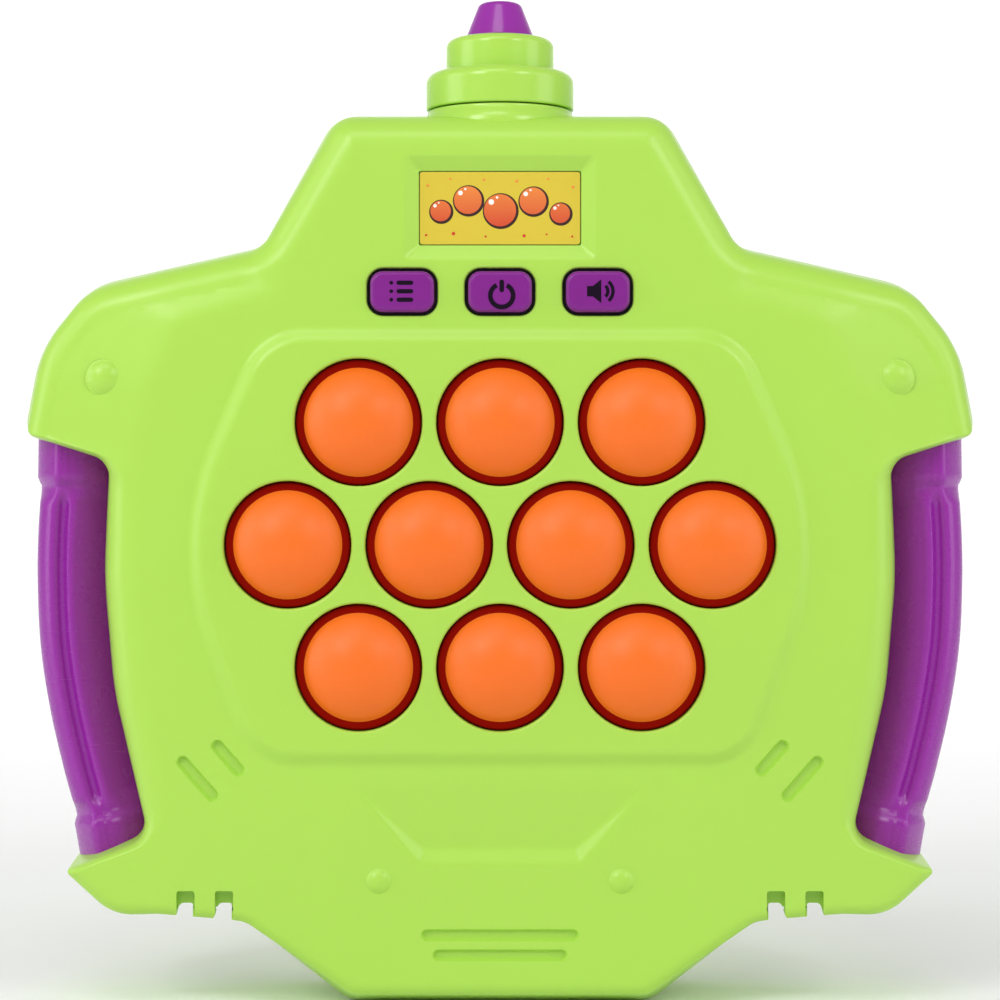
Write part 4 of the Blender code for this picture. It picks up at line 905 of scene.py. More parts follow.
def case_front(case, controls):
    """Green front half with its pad, holes, window frame, scoop and grooves."""
    corners, rounds, leans = case_rows()
    rounds = [share * case.edge_round / MM for share in rounds]
    leans = [share * case.draft / MM for share in leans]
    steps = run_steps(corners, CASE_SPACING)
    drop = case.shoulder_drop / MM
    final = half_outline(
        drawn_in(corners, [size + lean for size, lean in zip(rounds, leans)]), steps)
    tops = [shoulder_lean(x, y, drop) for x, y in final]
    rise = case.pad_rise / MM

    def height_at(x, y):
        """Height of the face without what is raised or sunk on it."""
        return FACE_Z - shoulder_lean(x, y, drop)

    lines, slopes = face_lines(case, rise)
    lip_size = case.hole_lip / MM
    radius = scene_sizes("bubbles").hole_radius / MM
    gap = controls.button_gap / MM
    width = controls.button_width / MM + 2 * gap
    height = controls.button_height / MM + 2 * gap
    corner = controls.button_corner / MM + gap
    holes, rims, floors = [], [], []

    def add_hole(outline_at, size, lift):
        """Add a hole with a rounded rim that goes through the wall."""
        rings = lip(outline_at, size)
        holes.append([(x, y, lift) for x, y in rings[0][0]])
        rims.append([(ring, lift + fall) for ring, fall in rings[1:]])
        floors.append(None)

    for place in bubble_places():
        add_hole(lambda out, c=place: circle(radius + out, c, HOLE_SIDES), lip_size, rise)
    for place in button_places():
        add_hole(lambda out, c=place: rounded_rectangle(
            width + 2 * out, height + 2 * out, corner + out, c, 9), BUTTON_LIP, 0.0)
    bevel = controls.window_bevel / MM
    sunk = FACE_Z - PLATE_HIGH.z

    def frame_at(out):
        """Outline of the window's frame, drawn out."""
        return rounded_rectangle(PLATE_WIDTH + 2 * out, PLATE_HEIGHT + 2 * out,
                                 FRAME_CORNER + FRAME_GROWTH * out,
                                 (0, WINDOW_CENTRE_Y), 7, UNSPACED)

    window = [(share * bevel + spread, sunk * part)
              for share, spread, part in WINDOW_FRAME]
    holes.append([(x, y, 0) for x, y in frame_at(window[0][0])])
    rims.append([(frame_at(out), lift) for out, lift in window[1:]])
    floors.append(PLATE_LOW.z - SLIVER)

    def lift_at(x, y):
        """Lift of a point of the face, or none on a slope."""
        for edge, floor, lift in slopes:
            if within(crossings(edge, y), x):
                return lift if within(crossings(floor, y), x) else None
        return scoop_lift(x, y, case.scoop_depth / MM)

    def fill(shape, outer):
        """Flat of this half with its holes. Gives the loops of its outer edge."""
        flat = [(x, y, 0.0) for x, y, z in outer]
        loops = sheet(shape, flat, holes, lines, lift_at, height_at, WALL, FINER)
        for (top, bottom), hole, rings, floor in zip(loops[1:], holes, rims, floors):
            base = [height_at(x, y) for x, y, _ in hole]
            last = chain(shape, top, [
                lifted(ring, [z + fall for z in base]) for ring, fall in rings], False)
            if floor is None:
                wall = lifted(rings[-1][0], FACE_Z - WALL)
                bridge(shape, chain(shape, last, [wall], False), bottom)
            else:
                chain(shape, last, [lifted(rings[-1][0], floor)])
                chain(shape, bottom, [lifted(hole, floor - WALL)])
        return loops[0]

    mesh = half_case("front", corners, steps, rounds, leans, tops, FACE_Z,
                     PARTING_Z + GAP / 2, fill)
    return cut_from(mesh, notch_cutters())


def notch_cutters():
    """Pockets in the feet, with a nick through the edge under each."""
    cutters = []
    for x in NOTCH_XS:
        for sign in (1, -1):
            place = (sign * x, 0)
            pocket = rounded_rectangle(
                NOTCH_WIDTH, NOTCH_TOP_Y - NOTCH_LOW_Y, NOTCH_CORNER,
                (place[0], (NOTCH_TOP_Y + NOTCH_LOW_Y) / 2), 4, UNSPACED)
            nick = [(place[0] + sign * along_x * NOTCH_WIDTH, y)
                    for along_x, y in NICK_OUTLINE]
            far_nick = [(along_x * NICK_SPREAD, y) for along_x, y in nick]
            for outline, far_outline, floor in ((pocket, pocket, NOTCH_FLOOR_Z),
                                                (nick, far_nick, BACK_Z - PAST)):
                rings = [lifted(far_outline, floor), lifted(outline, FACE_Z + PAST)]
                cutters.append(loft("notch", rings))
    return cutters


def notch_ribs(sign):
    """Solid behind the notches of one foot, with their pockets cut into it."""
    low_x, high_x = NOTCH_XS[0] - NOTCH_WIDTH, NOTCH_XS[1] + RIB_PAST_SIDE * NOTCH_WIDTH
    high_y = NOTCH_TOP_Y + RIB_PAST_TOP
    rings = []
    for low_y, z in NOTCH_RIB_ROWS:
        outline = rounded_rectangle(
            high_x - low_x, high_y - low_y, NOTCH_CORNER,
            (sign * (low_x + high_x) / 2, (low_y + high_y) / 2), 4, UNSPACED)
        rings.append(lifted(outline, z))
    return cut_from(loft("notch_ribs", rings), notch_cutters())


def scene_sizes(kind):
    """One of the scene's groups of sizes."""
    return getattr(bpy.context.scene, "bubble_pop_" + kind)


def repeated(name, places, shape, material):
    """Mesh of one shape put on each of several places by a Geometry Nodes tree."""
    points = bpy.data.meshes.new("places")
    points.from_pydata([Vector((x, -z, y)) * MM for x, y, z in places], [], [])
    shape.transform(STAND_UP)
    item, source = linked(name, points), linked(name + "_shape", shape)
    tree = placing_tree()
    modifier = item.modifiers.new(name, "NODES")
    modifier.node_group = tree
    values = {"Shape": source, "Scale": 1.0, "Material": material}
    for entry in tree.interface.items_tree:
        if entry.name in values and entry.in_out == "INPUT":
            modifier[entry.identifier] = values[entry.name]
    mesh = plain_mesh(item, source)
    mesh.transform(STAND_UP.inverted())
    return mesh


def placing_tree():
    """Geometry Nodes tree that puts a shape on each point of a mesh."""
    tree = bpy.data.node_groups.get("shape_on_points")
    if tree:
        return tree
    tree = bpy.data.node_groups.new("shape_on_points", "GeometryNodeTree")
    for label, kind in (("Geometry", "NodeSocketGeometry"), ("Shape", "NodeSocketObject"),
                        ("Scale", "NodeSocketFloat"), ("Material", "NodeSocketMaterial")):
        tree.interface.new_socket(label, in_out="INPUT", socket_type=kind)
    tree.interface.new_socket("Geometry", in_out="OUTPUT",
                              socket_type="NodeSocketGeometry")
    nodes, links = tree.nodes, tree.links
    entry = nodes.new("NodeGroupInput")
    shape = nodes.new("GeometryNodeObjectInfo")
    put = nodes.new("GeometryNodeInstanceOnPoints")
    real = nodes.new("GeometryNodeRealizeInstances")
    paint = nodes.new("GeometryNodeSetMaterial")
    leave = nodes.new("NodeGroupOutput")
    links.new(entry.outputs["Shape"], shape.inputs["Object"])
    links.new(entry.outputs["Geometry"], put.inputs["Points"])
    links.new(shape.outputs["Geometry"], put.inputs["Instance"])
    links.new(entry.outputs["Scale"], put.inputs["Scale"])
    links.new(put.outputs["Instances"], real.inputs["Geometry"])
    links.new(real.outputs["Geometry"], paint.inputs["Geometry"])
    links.new(entry.outputs["Material"], paint.inputs["Material"])
    links.new(paint.outputs["Geometry"], leave.inputs["Geometry"])
    return tree


def spline(points, steps, closed):
    """Smooth line through some points (Catmull-Rom)."""
    points = [Vector(point) for point in points]
    if closed:
        ends = [points[-1], *points, points[0], points[1]]
    else:
        ends = [2 * points[0] - points[1], *points, 2 * points[-1] - points[-2]]
    dense = []
    for a, b, c, d in zip(ends, ends[1:], ends[2:], ends[3:]):
        for step in range(steps):
            t = step / steps
            dense.append(0.5 * ((2 * b) + (c - a) * t + (2 * a - 5 * b + 4 * c - d) * t * t
                                + (3 * b - a - 3 * c + d) * t ** 3))
    return dense if closed else dense + [points[-1]]


# Path of the right grip's middle from top to bottom, in millimetres
GRIP_PATH = (
    (76.4, 100.9), (76.6, 90.0), (77.0, 82.4), (77.1, 74.5), (76.6, 63.6), (75.0, 52.9),
    (72.6, 42.4), (70.6, 34.9), (68.7, 24.5),
)
GRIP_TOP_Y = 98.6
GRIP_FOOT_Y = 26.0

# How far past a collar its step ends and the groove starts, at the top and at the foot,
# and the length over which each changes
STEP_PAST_TOP, STEP_PAST_FOOT, STEP_RUN = 0.9, 1.3, 1.5
GROOVE_PAST_TOP, GROOVE_PAST_FOOT, GROOVE_RUN = 1.4, 1.8, 3.0

# The grip's section as shares of its half width and depth, outer side first and
# counter-clockwise from the front: once with its groove and ridge, once plain
GRIP_GROOVED_SHARES = (
    (1.02, 0.10), (1.00, 0.36), (0.90, 0.66), (0.70, 0.86), (0.48, 0.97), (0.34, 0.99),
    (0.22, 0.96), (0.13, 0.90), (0.04, 0.88), (-0.05, 0.91), (-0.14, 0.96),
    (-0.24, 0.97), (-0.34, 0.95), (-0.46, 0.90), (-0.62, 0.83), (-0.86, 0.72),
    (-1.22, 0.54), (-1.52, 0.34), (-1.56, -0.20), (-1.52, -0.84), (-1.20, -0.98),
    (-0.20, -1.00), (0.50, -0.98), (0.86, -0.84), (1.00, -0.50), (1.03, -0.20),
)
GRIP_PLAIN_SHARES = (
    (1.02, 0.10), (1.00, 0.26), (0.88, 0.46), (0.70, 0.66), (0.50, 0.84), (0.34, 0.96),
    (0.24, 1.00), (0.16, 1.01), (0.06, 1.00), (-0.04, 0.99), (-0.14, 0.97),
    (-0.28, 0.95), (-0.42, 0.92), (-0.58, 0.88), (-0.76, 0.82), (-1.00, 0.73),
    (-1.30, 0.58), (-1.52, 0.40), (-1.56, -0.20), (-1.52, -0.84), (-1.20, -0.98),
    (-0.20, -1.00), (0.50, -0.98), (0.86, -0.84), (1.00, -0.50), (1.03, -0.20),
)


def grip_mesh(sizes, sign):
    """One side grip: a swept section whose ends step up into collars."""
    path = spline(GRIP_PATH, 14, False)
    half_width, half_depth = sizes.half_width / MM, sizes.half_depth / MM
    collar = sizes.collar_length / MM
    rings = []
    grooved = spline(GRIP_GROOVED_SHARES, 4, True)
    plain = spline(GRIP_PLAIN_SHARES, 4, True)
    for index, point in enumerate(path):
        ahead = path[min(index + 1, len(path) - 1)] - path[max(index - 1, 0)]
        across = Vector((-ahead.y, ahead.x)).normalized()
        from_top = GRIP_TOP_Y - point.y
        from_foot = point.y - GRIP_FOOT_Y
        step = max(smooth_step((collar + STEP_PAST_TOP - from_top) / STEP_RUN),
                   smooth_step((collar + STEP_PAST_FOOT - from_foot) / STEP_RUN))
        groove = min(smooth_step((from_top - collar - GROOVE_PAST_TOP) / GROOVE_RUN),
                     smooth_step((from_foot - collar - GROOVE_PAST_FOOT) / GROOVE_RUN))
        size = 1 + (sizes.collar - 1) * step
        ring = []
        for rough, smooth in zip(plain, grooved):
            along_x, out = rough.lerp(smooth, groove)
            reach = along_x * half_width * (size if along_x > 0 else 1.0)
            place = point + across * reach
            ring.append((sign * place.x, place.y, PARTING_Z + out * half_depth * size))
        rings.append(ring)
    return loft("grip", rings)


def dome_ball(radius, height):
    """Radius of the ball that a dome is part of, and the angle from its top to its foot."""
    ball = (radius ** 2 + height ** 2) / (2 * height)
    return ball, atan2(radius, sqrt(max(ball * ball - radius * radius, 1e-9)))


def dome_rows(ball, middle, foot, steps):
    """Profile of a ball from its top down to an angle."""
    rows = []
    for step in range(steps + 1):
        angle = foot * step / steps
        rows.append((ball * sin(angle), middle + ball * cos(angle)))
    return rows


def dome_mesh(sizes):
    """Hollow silicone dome on its skirt, with its middle at the origin."""
    radius = sizes.radius / MM
    top = BUBBLE_HIGH.z
    ball, foot = dome_ball(radius, top - BUBBLE_RING_Z)
    middle = top - ball
    profile = dome_rows(ball, middle, foot, 26)
    profile.append((radius + 0.12, BUBBLE_RING_Z - 0.03))
    profile += arc((10.45, BUBBLE_RING_Z - 0.5), 0.45, 90, 0, 5)
    profile += [(10.9, UNDER_FACE_Z), (radius, UNDER_FACE_Z)]
    profile += reversed(dome_rows(ball - sizes.wall / MM, middle, foot, 12))
    return turned("dome", profile, sizes.segments)


def cap_mesh(controls):
    """Button cap with a rounded rim, its middle at the origin."""
    width, height = controls.button_width / MM, controls.button_height / MM
    corner, turn = controls.button_corner / MM, controls.button_round / MM
    round_z = CAP_TOP_Z - turn

    def outline(inset):
        return rounded_rectangle(width - 2 * inset, height - 2 * inset,
                                 max(corner - inset, 0.3), count=10, spacing=UNSPACED)

    rings = [lifted(outline(0.4), UNDER_FACE_Z - 2.0),
             lifted(outline(0.0), UNDER_FACE_Z - 1.9), lifted(outline(0.0), round_z)]
    for x, z in arc((0, 0), turn, 0, 90, 8)[1:]:
        rings.append(lifted(outline(turn - x), round_z + z))
    rings.append(lifted(outline(turn + 0.5), CAP_TOP_Z + 0.02))
    rings.append(lifted(outline(turn + 1.4), CAP_TOP_Z + 0.04))
    return loft("cap", rings)


def flat_shape(outline, low, high):
    """Flat outline made into a thin solid."""
    curve = bpy.data.curves.new("outline", "CURVE")
    curve.dimensions = "2D"
    curve.fill_mode = "BOTH"
    curve.extrude = (high - low) / 2
    edge = curve.splines.new("POLY")
    edge.points.add(len(outline) - 1)
    edge.use_cyclic_u = True
    for point, place in zip(edge.points, outline):
        point.co = (place[0], place[1], 0, 1)
    mesh = plain_mesh(linked("outline", curve))
    bpy.data.curves.remove(curve)
    mesh.transform(Matrix.Translation((0, 0, (high + low) / 2)))
    return weld(mesh)


def weld(mesh):
    """Merge touching points and turn the faces outwards."""
    shape = bmesh.new()
    shape.from_mesh(mesh)
    bmesh.ops.remove_doubles(shape, verts=shape.verts, dist=1e-4)
    bmesh.ops.recalc_face_normals(shape, faces=shape.faces)
    shape.to_mesh(mesh)
    shape.free()
    return mesh


def joined(name, meshes):
    """One mesh from several that keep their own faces."""
    shape = bmesh.new()
    for mesh in meshes:
        shape.from_mesh(mesh)
    mesh = bpy.data.meshes.new(name)
    shape.to_mesh(mesh)
    shape.free()
    return mesh


def band(radius, stroke, start, sweep, centre=(0, 0), count=40):
    """Outline of a curved bar, with its ends square."""
    outer = circle(radius + stroke / 2, centre, count, radians(start), radians(sweep))
    inner = circle(radius - stroke / 2, centre, count, radians(start), radians(sweep))
    return outer + list(reversed(inner))


# Heights of the three lines of the menu's mark
MENU_ROWS = (-1.47, 0, 1.47)


def mark_outlines(name, stroke):
    """Flat outlines of a button's generic mark, its cap's middle at the origin."""
    if name == "menu":
        bars = [slot(2.9, stroke * 0.92, (0.5, y), count=7) for y in MENU_ROWS]
        dots = [circle(stroke * 0.40, (-1.85, y), 20) for y in MENU_ROWS]
        return bars + dots
    if name == "power":
        return [band(1.98, stroke, 116, 308, (0.3, -0.75)),
                slot(2.2, stroke, (0.3, 0.92), pi / 2, count=7)]
    body = [Vector((-1.9, 0.9)), Vector((-0.9, 0.9)), Vector((0.55, 2.05)),
            Vector((0.55, -2.05)), Vector((-0.9, -0.9)), Vector((-1.9, -0.9))]
    near = band(1.25, stroke * 0.72, -48, 96, (0.45, 0))
    far = band(2.15, stroke * 0.72, -50, 100, (0.45, 0))
    return [body, near, far]


# Where the knob's upright axis meets the case
CROWN_SEAT = (Matrix.Translation((0, BODY_HEIGHT, PARTING_Z))
              @ Matrix.Rotation(-pi / 2, 4, "X"))


def crown_meshes(sizes):
    """The two-step knob and its tip, turned about the vertical, their foot at zero."""
    lower, upper = sizes.lower_radius / MM, sizes.upper_radius / MM
    base, middle, top = 0.9, 7.6, 13.7
    profile = [(0, base), (lower - 0.5, base)]
    profile += arc((lower - 0.35, base + 0.35), 0.35, -90, 0, 4)
    profile += arc((lower - 2.0, middle - 2.0), 2.0, 0, 90, 11)
    profile += arc((upper + 0.35, middle + 0.35), 0.35, -90, -180, 4)
    profile += arc((upper - 1.6, top - 1.6), 1.6, 0, 90, 9)
    profile += [(3.4, top), (3.1, top - 0.1), (3.1, top - 3.0), (0, top - 3.0)]
    collar = turned("collar", profile, sizes.segments)
    low, high = top + 0.15, 20.3
    foot, head = sizes.tip_base / MM, sizes.tip_top / MM
    profile = [(0, low), (foot - 0.25, low)]
    profile += arc((foot - 0.3, low + 0.3), 0.3, -90, 10, 4)
    profile += arc((head - 0.9, high - 1.3), 1.3, 18, 90, 10) + [(0, high)]
    tip = turned("tip", profile, sizes.segments)
    for mesh in (collar, tip):
        mesh.transform(CROWN_SEAT)
        mesh.update()
    return collar, tip


def plinth_mesh(lower):
    """Flared foot on the case's top edge, under the knob."""
    profile = [(0, -7.0), (lower + 1.0, -7.0), (lower + 1.0, -2.6), (lower + 0.85, -1.7),
               (lower + 0.5, -0.9), (lower + 0.1, -0.35), (lower - 0.2, 0.1)]
    profile += arc((lower - 0.5, 0.4), 0.25, 0, 90, 4) + [(0, 0.65)]
    mesh = turned("plinth", profile, SIDES["plinth"])
    mesh.transform(CROWN_SEAT)
    return mesh


# Back of the case: screws, each with its shank's length and its head's height, their
# sockets and posts, battery well, door and grille
SCREW_PLACES = ((29.09, 146.06), (56.04, 114.95), (56.04, 33.95))
SCREW_SEAT_Z = BACK_Z + 6.0
CASE_SCREW = (12.0, 1.8)
COVER_SCREW = (5.0, 1.0)
COVER_SCREW_SEAT_Z = BACK_Z + 1.15
SOCKET_RADIUS = 2.8
SOCKET_LIP = 0.4
POST_SPREAD = 1.5
POST_TOP_Z = BACK_Z + 10.0
WELL_HALF_WIDTH = 16.75
WELL_LOW_Y = 52.55
WELL_HIGH_Y = 101.45
WELL_FLOOR_Z = -5.6
DOOR_FOOT_Y = DOOR_LOW.y + 1.4
DOOR_WIDTH = DOOR_HIGH.x - DOOR_LOW.x
DOOR_HEIGHT = DOOR_HIGH.y - DOOR_FOOT_Y
DOOR_MIDDLE = (0, (DOOR_FOOT_Y + DOOR_HIGH.y) / 2)
DOOR_THICKNESS = DOOR_HIGH.z - DOOR_LOW.z
DOOR_LIP = 0.3
DOOR_SCREW_Y = 104.5
GRILLE_Y = 24.0
GRILLE_PITCH = 3.4
GRILLE_WIDTH = 1.5
GRILLE_LIP = 0.35
GRILLE_RUNS = (11.0, 17.0, 19.0, 17.0, 11.0)


def both_sides(places):
    """Places on the right with their mirror images."""
    return [(sign * x, y) for x, y in places for sign in (1, -1)]


def case_back(case):
    """Green back half with its screw sockets, battery well and speaker grille."""
    corners, rounds, leans = case_rows()
    rounds = [BACK_EDGE_ROUND] * len(rounds)
    leans = [BACK_LEAN_SHARE * share * case.draft / MM for share in leans]
    steps = run_steps(corners, CASE_SPACING)
    tops = [0.0] * len(half_outline(corners, steps))
    holes, makers = [], []

    def add(outline_at, size, maker):
        """Add a hole with a rounded rim, and what makes its inside."""
        rings = [(ring, -fall) for ring, fall in lip(outline_at, size, 4)]
        holes.append([(x, y, 0.0) for x, y in rings[0][0]])
        makers.append((rings[1:], maker))

    def socket(shape, last, rings, bottom):
        """Seat of a case screw, with a post round it."""
        seat = lifted(rings[-1][0], SCREW_SEAT_Z)
        chain(shape, last, [seat])
        post = [Vector(point) for point in rings[-1][0]]
        middle = sum(post, Vector((0, 0))) / len(post)
        wide = [middle + (point - middle) * POST_SPREAD for point in post]
        chain(shape, bottom, [lifted(wide, BACK_Z + WALL + 0.1),
                              lifted(wide, POST_TOP_Z)])

    def through(shape, last, rings, bottom):
        """Slot of the grille."""
        wall = lifted(rings[-1][0], BACK_Z + WALL)
        bridge(shape, chain(shape, last, [wall], False), bottom)

    def well(shape, last, rings, bottom):
        """Ledge for the door and the well for the cells."""
        ledge = BACK_Z + DOOR_THICKNESS + GAP
        box = rounded_rectangle(2 * WELL_HALF_WIDTH, WELL_HIGH_Y - WELL_LOW_Y, 0.8,
                                (0, (WELL_LOW_Y + WELL_HIGH_Y) / 2), 6, UNSPACED)
        chain(shape, last, [lifted(rings[-1][0], ledge), lifted(box, ledge),
                            lifted(box, WELL_FLOOR_Z)])
        chain(shape, bottom, [lifted(rings[-1][0], WELL_FLOOR_Z + 1.5)])

    for place in both_sides(SCREW_PLACES):
        add(lambda out, c=place: circle(SOCKET_RADIUS + out, c, 40), SOCKET_LIP, socket)
    add(lambda out: rounded_rectangle(
        DOOR_WIDTH + 2 * (GAP + out), DOOR_HEIGHT + 2 * (GAP + out), 1.6 + out,
        DOOR_MIDDLE, 6, UNSPACED), DOOR_LIP, well)
    for row, run in enumerate(GRILLE_RUNS):
        y = GRILLE_Y + GRILLE_PITCH * (row - 2)
        add(lambda out, r=run, h=y: slot(r + 2 * out, GRILLE_WIDTH + 2 * out, (0, h)),
            GRILLE_LIP, through)

    def fill(shape, outer):
        """Flat of this half with its holes. Gives the loops of its outer edge."""
        flat = [(x, y, 0.0) for x, y, z in outer]
        loops = sheet(shape, flat, holes, [], lambda x, y: 0.0,
                      lambda x, y: BACK_Z, -WALL)
        for (top, bottom), (rings, maker) in zip(loops[1:], makers):
            last = chain(shape, top, [lifted(ring, BACK_Z + fall)
                                      for ring, fall in rings], False)
            maker(shape, last, rings, bottom)
        return loops[0]

    mesh = half_case("back", corners, steps, rounds, leans, tops, BACK_Z,
                     PARTING_Z - GAP / 2, fill)
    return cut_from(mesh, notch_cutters())


def door_mesh():
    """Battery door with rounded edges, a screw recess, finger ribs and two tabs."""
    def outline(inset):
        return rounded_rectangle(DOOR_WIDTH - 2 * inset, DOOR_HEIGHT - 2 * inset,
                                 1.5 - inset / 2, DOOR_MIDDLE, 6, UNSPACED)

    rings = [lifted(outline(0.5), BACK_Z), lifted(outline(0.2), BACK_Z + 0.07),
             lifted(outline(0.05), BACK_Z + 0.2), lifted(outline(0.0), BACK_Z + 0.5),
             lifted(outline(0.0), BACK_Z + DOOR_THICKNESS)]
    panel = loft("door", rings)
    cutters = [turned("recess", [(0, -0.5), (3.3, -0.5), (3.0, 0.05), (2.85, 0.25),
                                 (2.85, 1.3), (1.6, 1.3), (1.6, 3.0), (0, 3.0)],
                       SIDES["recess"])]
    cutters[0].transform(Matrix.Translation((0, DOOR_SCREW_Y, BACK_Z)))
    for row in range(3):
        y = DOOR_SCREW_Y - 6.0 - 2.2 * row
        rings = [lifted(slot(12.0 + 2 * out, 1.2 + 2 * out, (0, y)), BACK_Z + z)
                 for out, z in ((0.25, -0.5), (0.2, 0.0), (0.05, 0.15), (-0.1, 0.5),
                                (-0.25, 0.6))]
        cutters.append(loft("rib", rings))
    panel = cut_from(panel, cutters)
    tabs = []
    for x in (11.0, -11.0):
        tab = rounded_rectangle(6.0, 2.4, 0.4, (x, DOOR_FOOT_Y - 0.2), 4, UNSPACED)
        high = BACK_Z + DOOR_THICKNESS
        tabs.append(loft("tab", [lifted(tab, high - 1.0), lifted(tab, high - 0.01)]))
    return joined("door", [panel, *tabs])


def screw_shape(shaft, head):
    """Pan-head screw with a crossed recess, head down, its seat at zero."""
    profile = [(0, shaft), (0.5, shaft - 0.1), (1.25, shaft - 1.4), (1.25, 0.0), (2.2, 0.0)]
    profile += arc((2.2, -0.25), 0.25, 90, -10, 3)
    profile += [(2.3, -head * 0.55), (1.9, -head * 0.85), (1.2, -head), (0, -head)]
    body = turned("screw", profile, SIDES["screw"])
    blades = []
    for size in ((3.0, 0.62), (0.62, 3.0)):
        outline = rounded_rectangle(*size, 0.15, count=3, spacing=UNSPACED)
        small = [point * 0.6 for point in outline]
        blades.append(loft("blade", [lifted(small, -head * 0.35),
                                     lifted(outline, -head - 0.3)]))
    return cut_from(body, blades)


# Length of bare metal at each end of a battery cell
CELL_END = 1.5


def cell_mesh(low, high, middle_x, middle_z, nub_up):
    """AAA cell between two heights, with its nub at one end."""
    radius = 5.2
    span = high - low
    profile = [(0, 0.05), (3.4, 0.05), (3.7, 0.25)]
    profile += arc((radius - 0.7, 0.7), 0.7, -90, 0, 4)
    profile += arc((radius - 0.7, span - 0.8 - 0.7), 0.7, 0, 90, 4)
    profile += [(2.4, span - 0.85), (2.3, span - 0.7), (1.9, span - 0.6),
                (1.85, span - 0.15), (1.7, span), (0, span)]
    mesh = turned("cell", profile, SIDES["cell"])
    turn = Matrix.Rotation(-pi / 2 if nub_up else pi / 2, 4, "X")
    foot = low if nub_up else high
    mesh.transform(Matrix.Translation((middle_x, foot, middle_z)) @ turn)
    return mesh


def node_group(name, inputs, outputs):
    """Empty shader node group with named sockets, and its ends."""
    group = bpy.data.node_groups.new(name, "ShaderNodeTree")
    for label, kind, value in inputs:
        socket = group.interface.new_socket(label, in_out="INPUT", socket_type=kind)
        socket.default_value = value
    for label, kind in outputs:
        group.interface.new_socket(label, in_out="OUTPUT", socket_type=kind)
    return group, group.nodes.new("NodeGroupInput"), group.nodes.new("NodeGroupOutput")


def feed(group, socket, value):
    """Set a socket to a number or a colour, or link it to another socket."""
    if isinstance(value, (int, float)):
        socket.default_value = value
    elif isinstance(value, (tuple, list)):
        socket.default_value = (*value[:3], 1.0)
    else:
        group.links.new(value, socket)


def noise(group, place, scale, detail=3.0, rough=0.55):
    """Noise node on given coordinates."""
    node = group.nodes.new("ShaderNodeTexNoise")
    for label, value in (("Vector", place), ("Scale", scale), ("Detail", detail),
                         ("Roughness", rough)):
        feed(group, node.inputs[label], value)
    return node.outputs["Fac"]


def sum_of(group, operation, first, second):
    """Math node on sockets or numbers."""
    node = group.nodes.new("ShaderNodeMath")
    node.operation = operation
    feed(group, node.inputs[0], first)
    feed(group, node.inputs[1], second)
    return node.outputs["Value"]


def mixed(group, factor, first, second):
    """Colour mix of sockets or colours."""
    node = group.nodes.new("ShaderNodeMix")
    node.data_type = "RGBA"
    for index, value in ((0, factor), (6, first), (7, second)):
        feed(group, node.inputs[index], value)
    return node.outputs[2]


def moulded_group():
    """Colour, gloss and fine grain of a moulded plastic or silicone."""
    group = bpy.data.node_groups.get("moulded_finish")
    if group:
        return group
    group, entry, leave = node_group(
        "moulded_finish",
        (("Colour", "NodeSocketColor", (0.5, 0.5, 0.5, 1)),
         ("Shade", "NodeSocketFloat", 0.06), ("Gloss", "NodeSocketFloat", 0.3),
         ("Gloss change", "NodeSocketFloat", 0.08), ("Grain size", "NodeSocketFloat", 2200),
         ("Grain", "NodeSocketFloat", 0.3), ("Waviness", "NodeSocketFloat", 0.3)),
        (("Colour", "NodeSocketColor"), ("Roughness", "NodeSocketFloat"),
         ("Height", "NodeSocketFloat")))
    place = group.nodes.new("ShaderNodeTexCoord").outputs["Object"]
    broad = noise(group, place, 26.0, 2.0)
    middling = noise(group, place, 240.0, 4.0)
    fine = noise(group, place, entry.outputs["Grain size"], 2.0, 0.5)
    tone = sum_of(group, "ADD", sum_of(group, "MULTIPLY", broad, 0.75),
                  sum_of(group, "MULTIPLY", middling, 0.25))
    dim = mixed(group, entry.outputs["Shade"], entry.outputs["Colour"], (0, 0, 0))
    group.links.new(mixed(group, tone, dim, entry.outputs["Colour"]),
                    leave.inputs["Colour"])
    swing = sum_of(group, "MULTIPLY", sum_of(group, "SUBTRACT", middling, 0.5),
                   entry.outputs["Gloss change"])
    group.links.new(sum_of(group, "ADD", entry.outputs["Gloss"], swing),
                    leave.inputs["Roughness"])
    wave = sum_of(group, "MULTIPLY", noise(group, place, 70.0, 1.0),
                  entry.outputs["Waviness"])
    grain = sum_of(group, "MULTIPLY", fine, entry.outputs["Grain"])
    group.links.new(sum_of(group, "ADD", wave, grain), leave.inputs["Height"])
    return group


def scuff_group():
    """Fine short scuffs that handling leaves on a glossy plastic, as a mask."""
    group = bpy.data.node_groups.get("handling_scuffs")
    if group:
        return group
    group, entry, leave = node_group(
        "handling_scuffs",
        (("Amount", "NodeSocketFloat", 0.2), ("Size", "NodeSocketFloat", 60.0)),
        (("Mask", "NodeSocketFloat"),))
    place = group.nodes.new("ShaderNodeTexCoord").outputs["Object"]
    squeeze = group.nodes.new("ShaderNodeMapping")
    squeeze.inputs["Scale"].default_value = (1.0, 1.0, 14.0)
    squeeze.inputs["Rotation"].default_value = (0.3, 0.5, 0.9)
    group.links.new(place, squeeze.inputs["Vector"])
    streak = noise(group, squeeze.outputs["Vector"], entry.outputs["Size"], 3.0, 0.5)
    patches = noise(group, place, 45.0, 1.0)
    sharp = group.nodes.new("ShaderNodeMapRange")
    sharp.inputs["From Min"].default_value = 0.62
    sharp.inputs["From Max"].default_value = 0.74
    group.links.new(streak, sharp.inputs["Value"])
    spread = sum_of(group, "MULTIPLY", sharp.outputs["Result"], patches)
    group.links.new(sum_of(group, "MULTIPLY", spread, entry.outputs["Amount"]),
                    leave.inputs["Mask"])
    return group


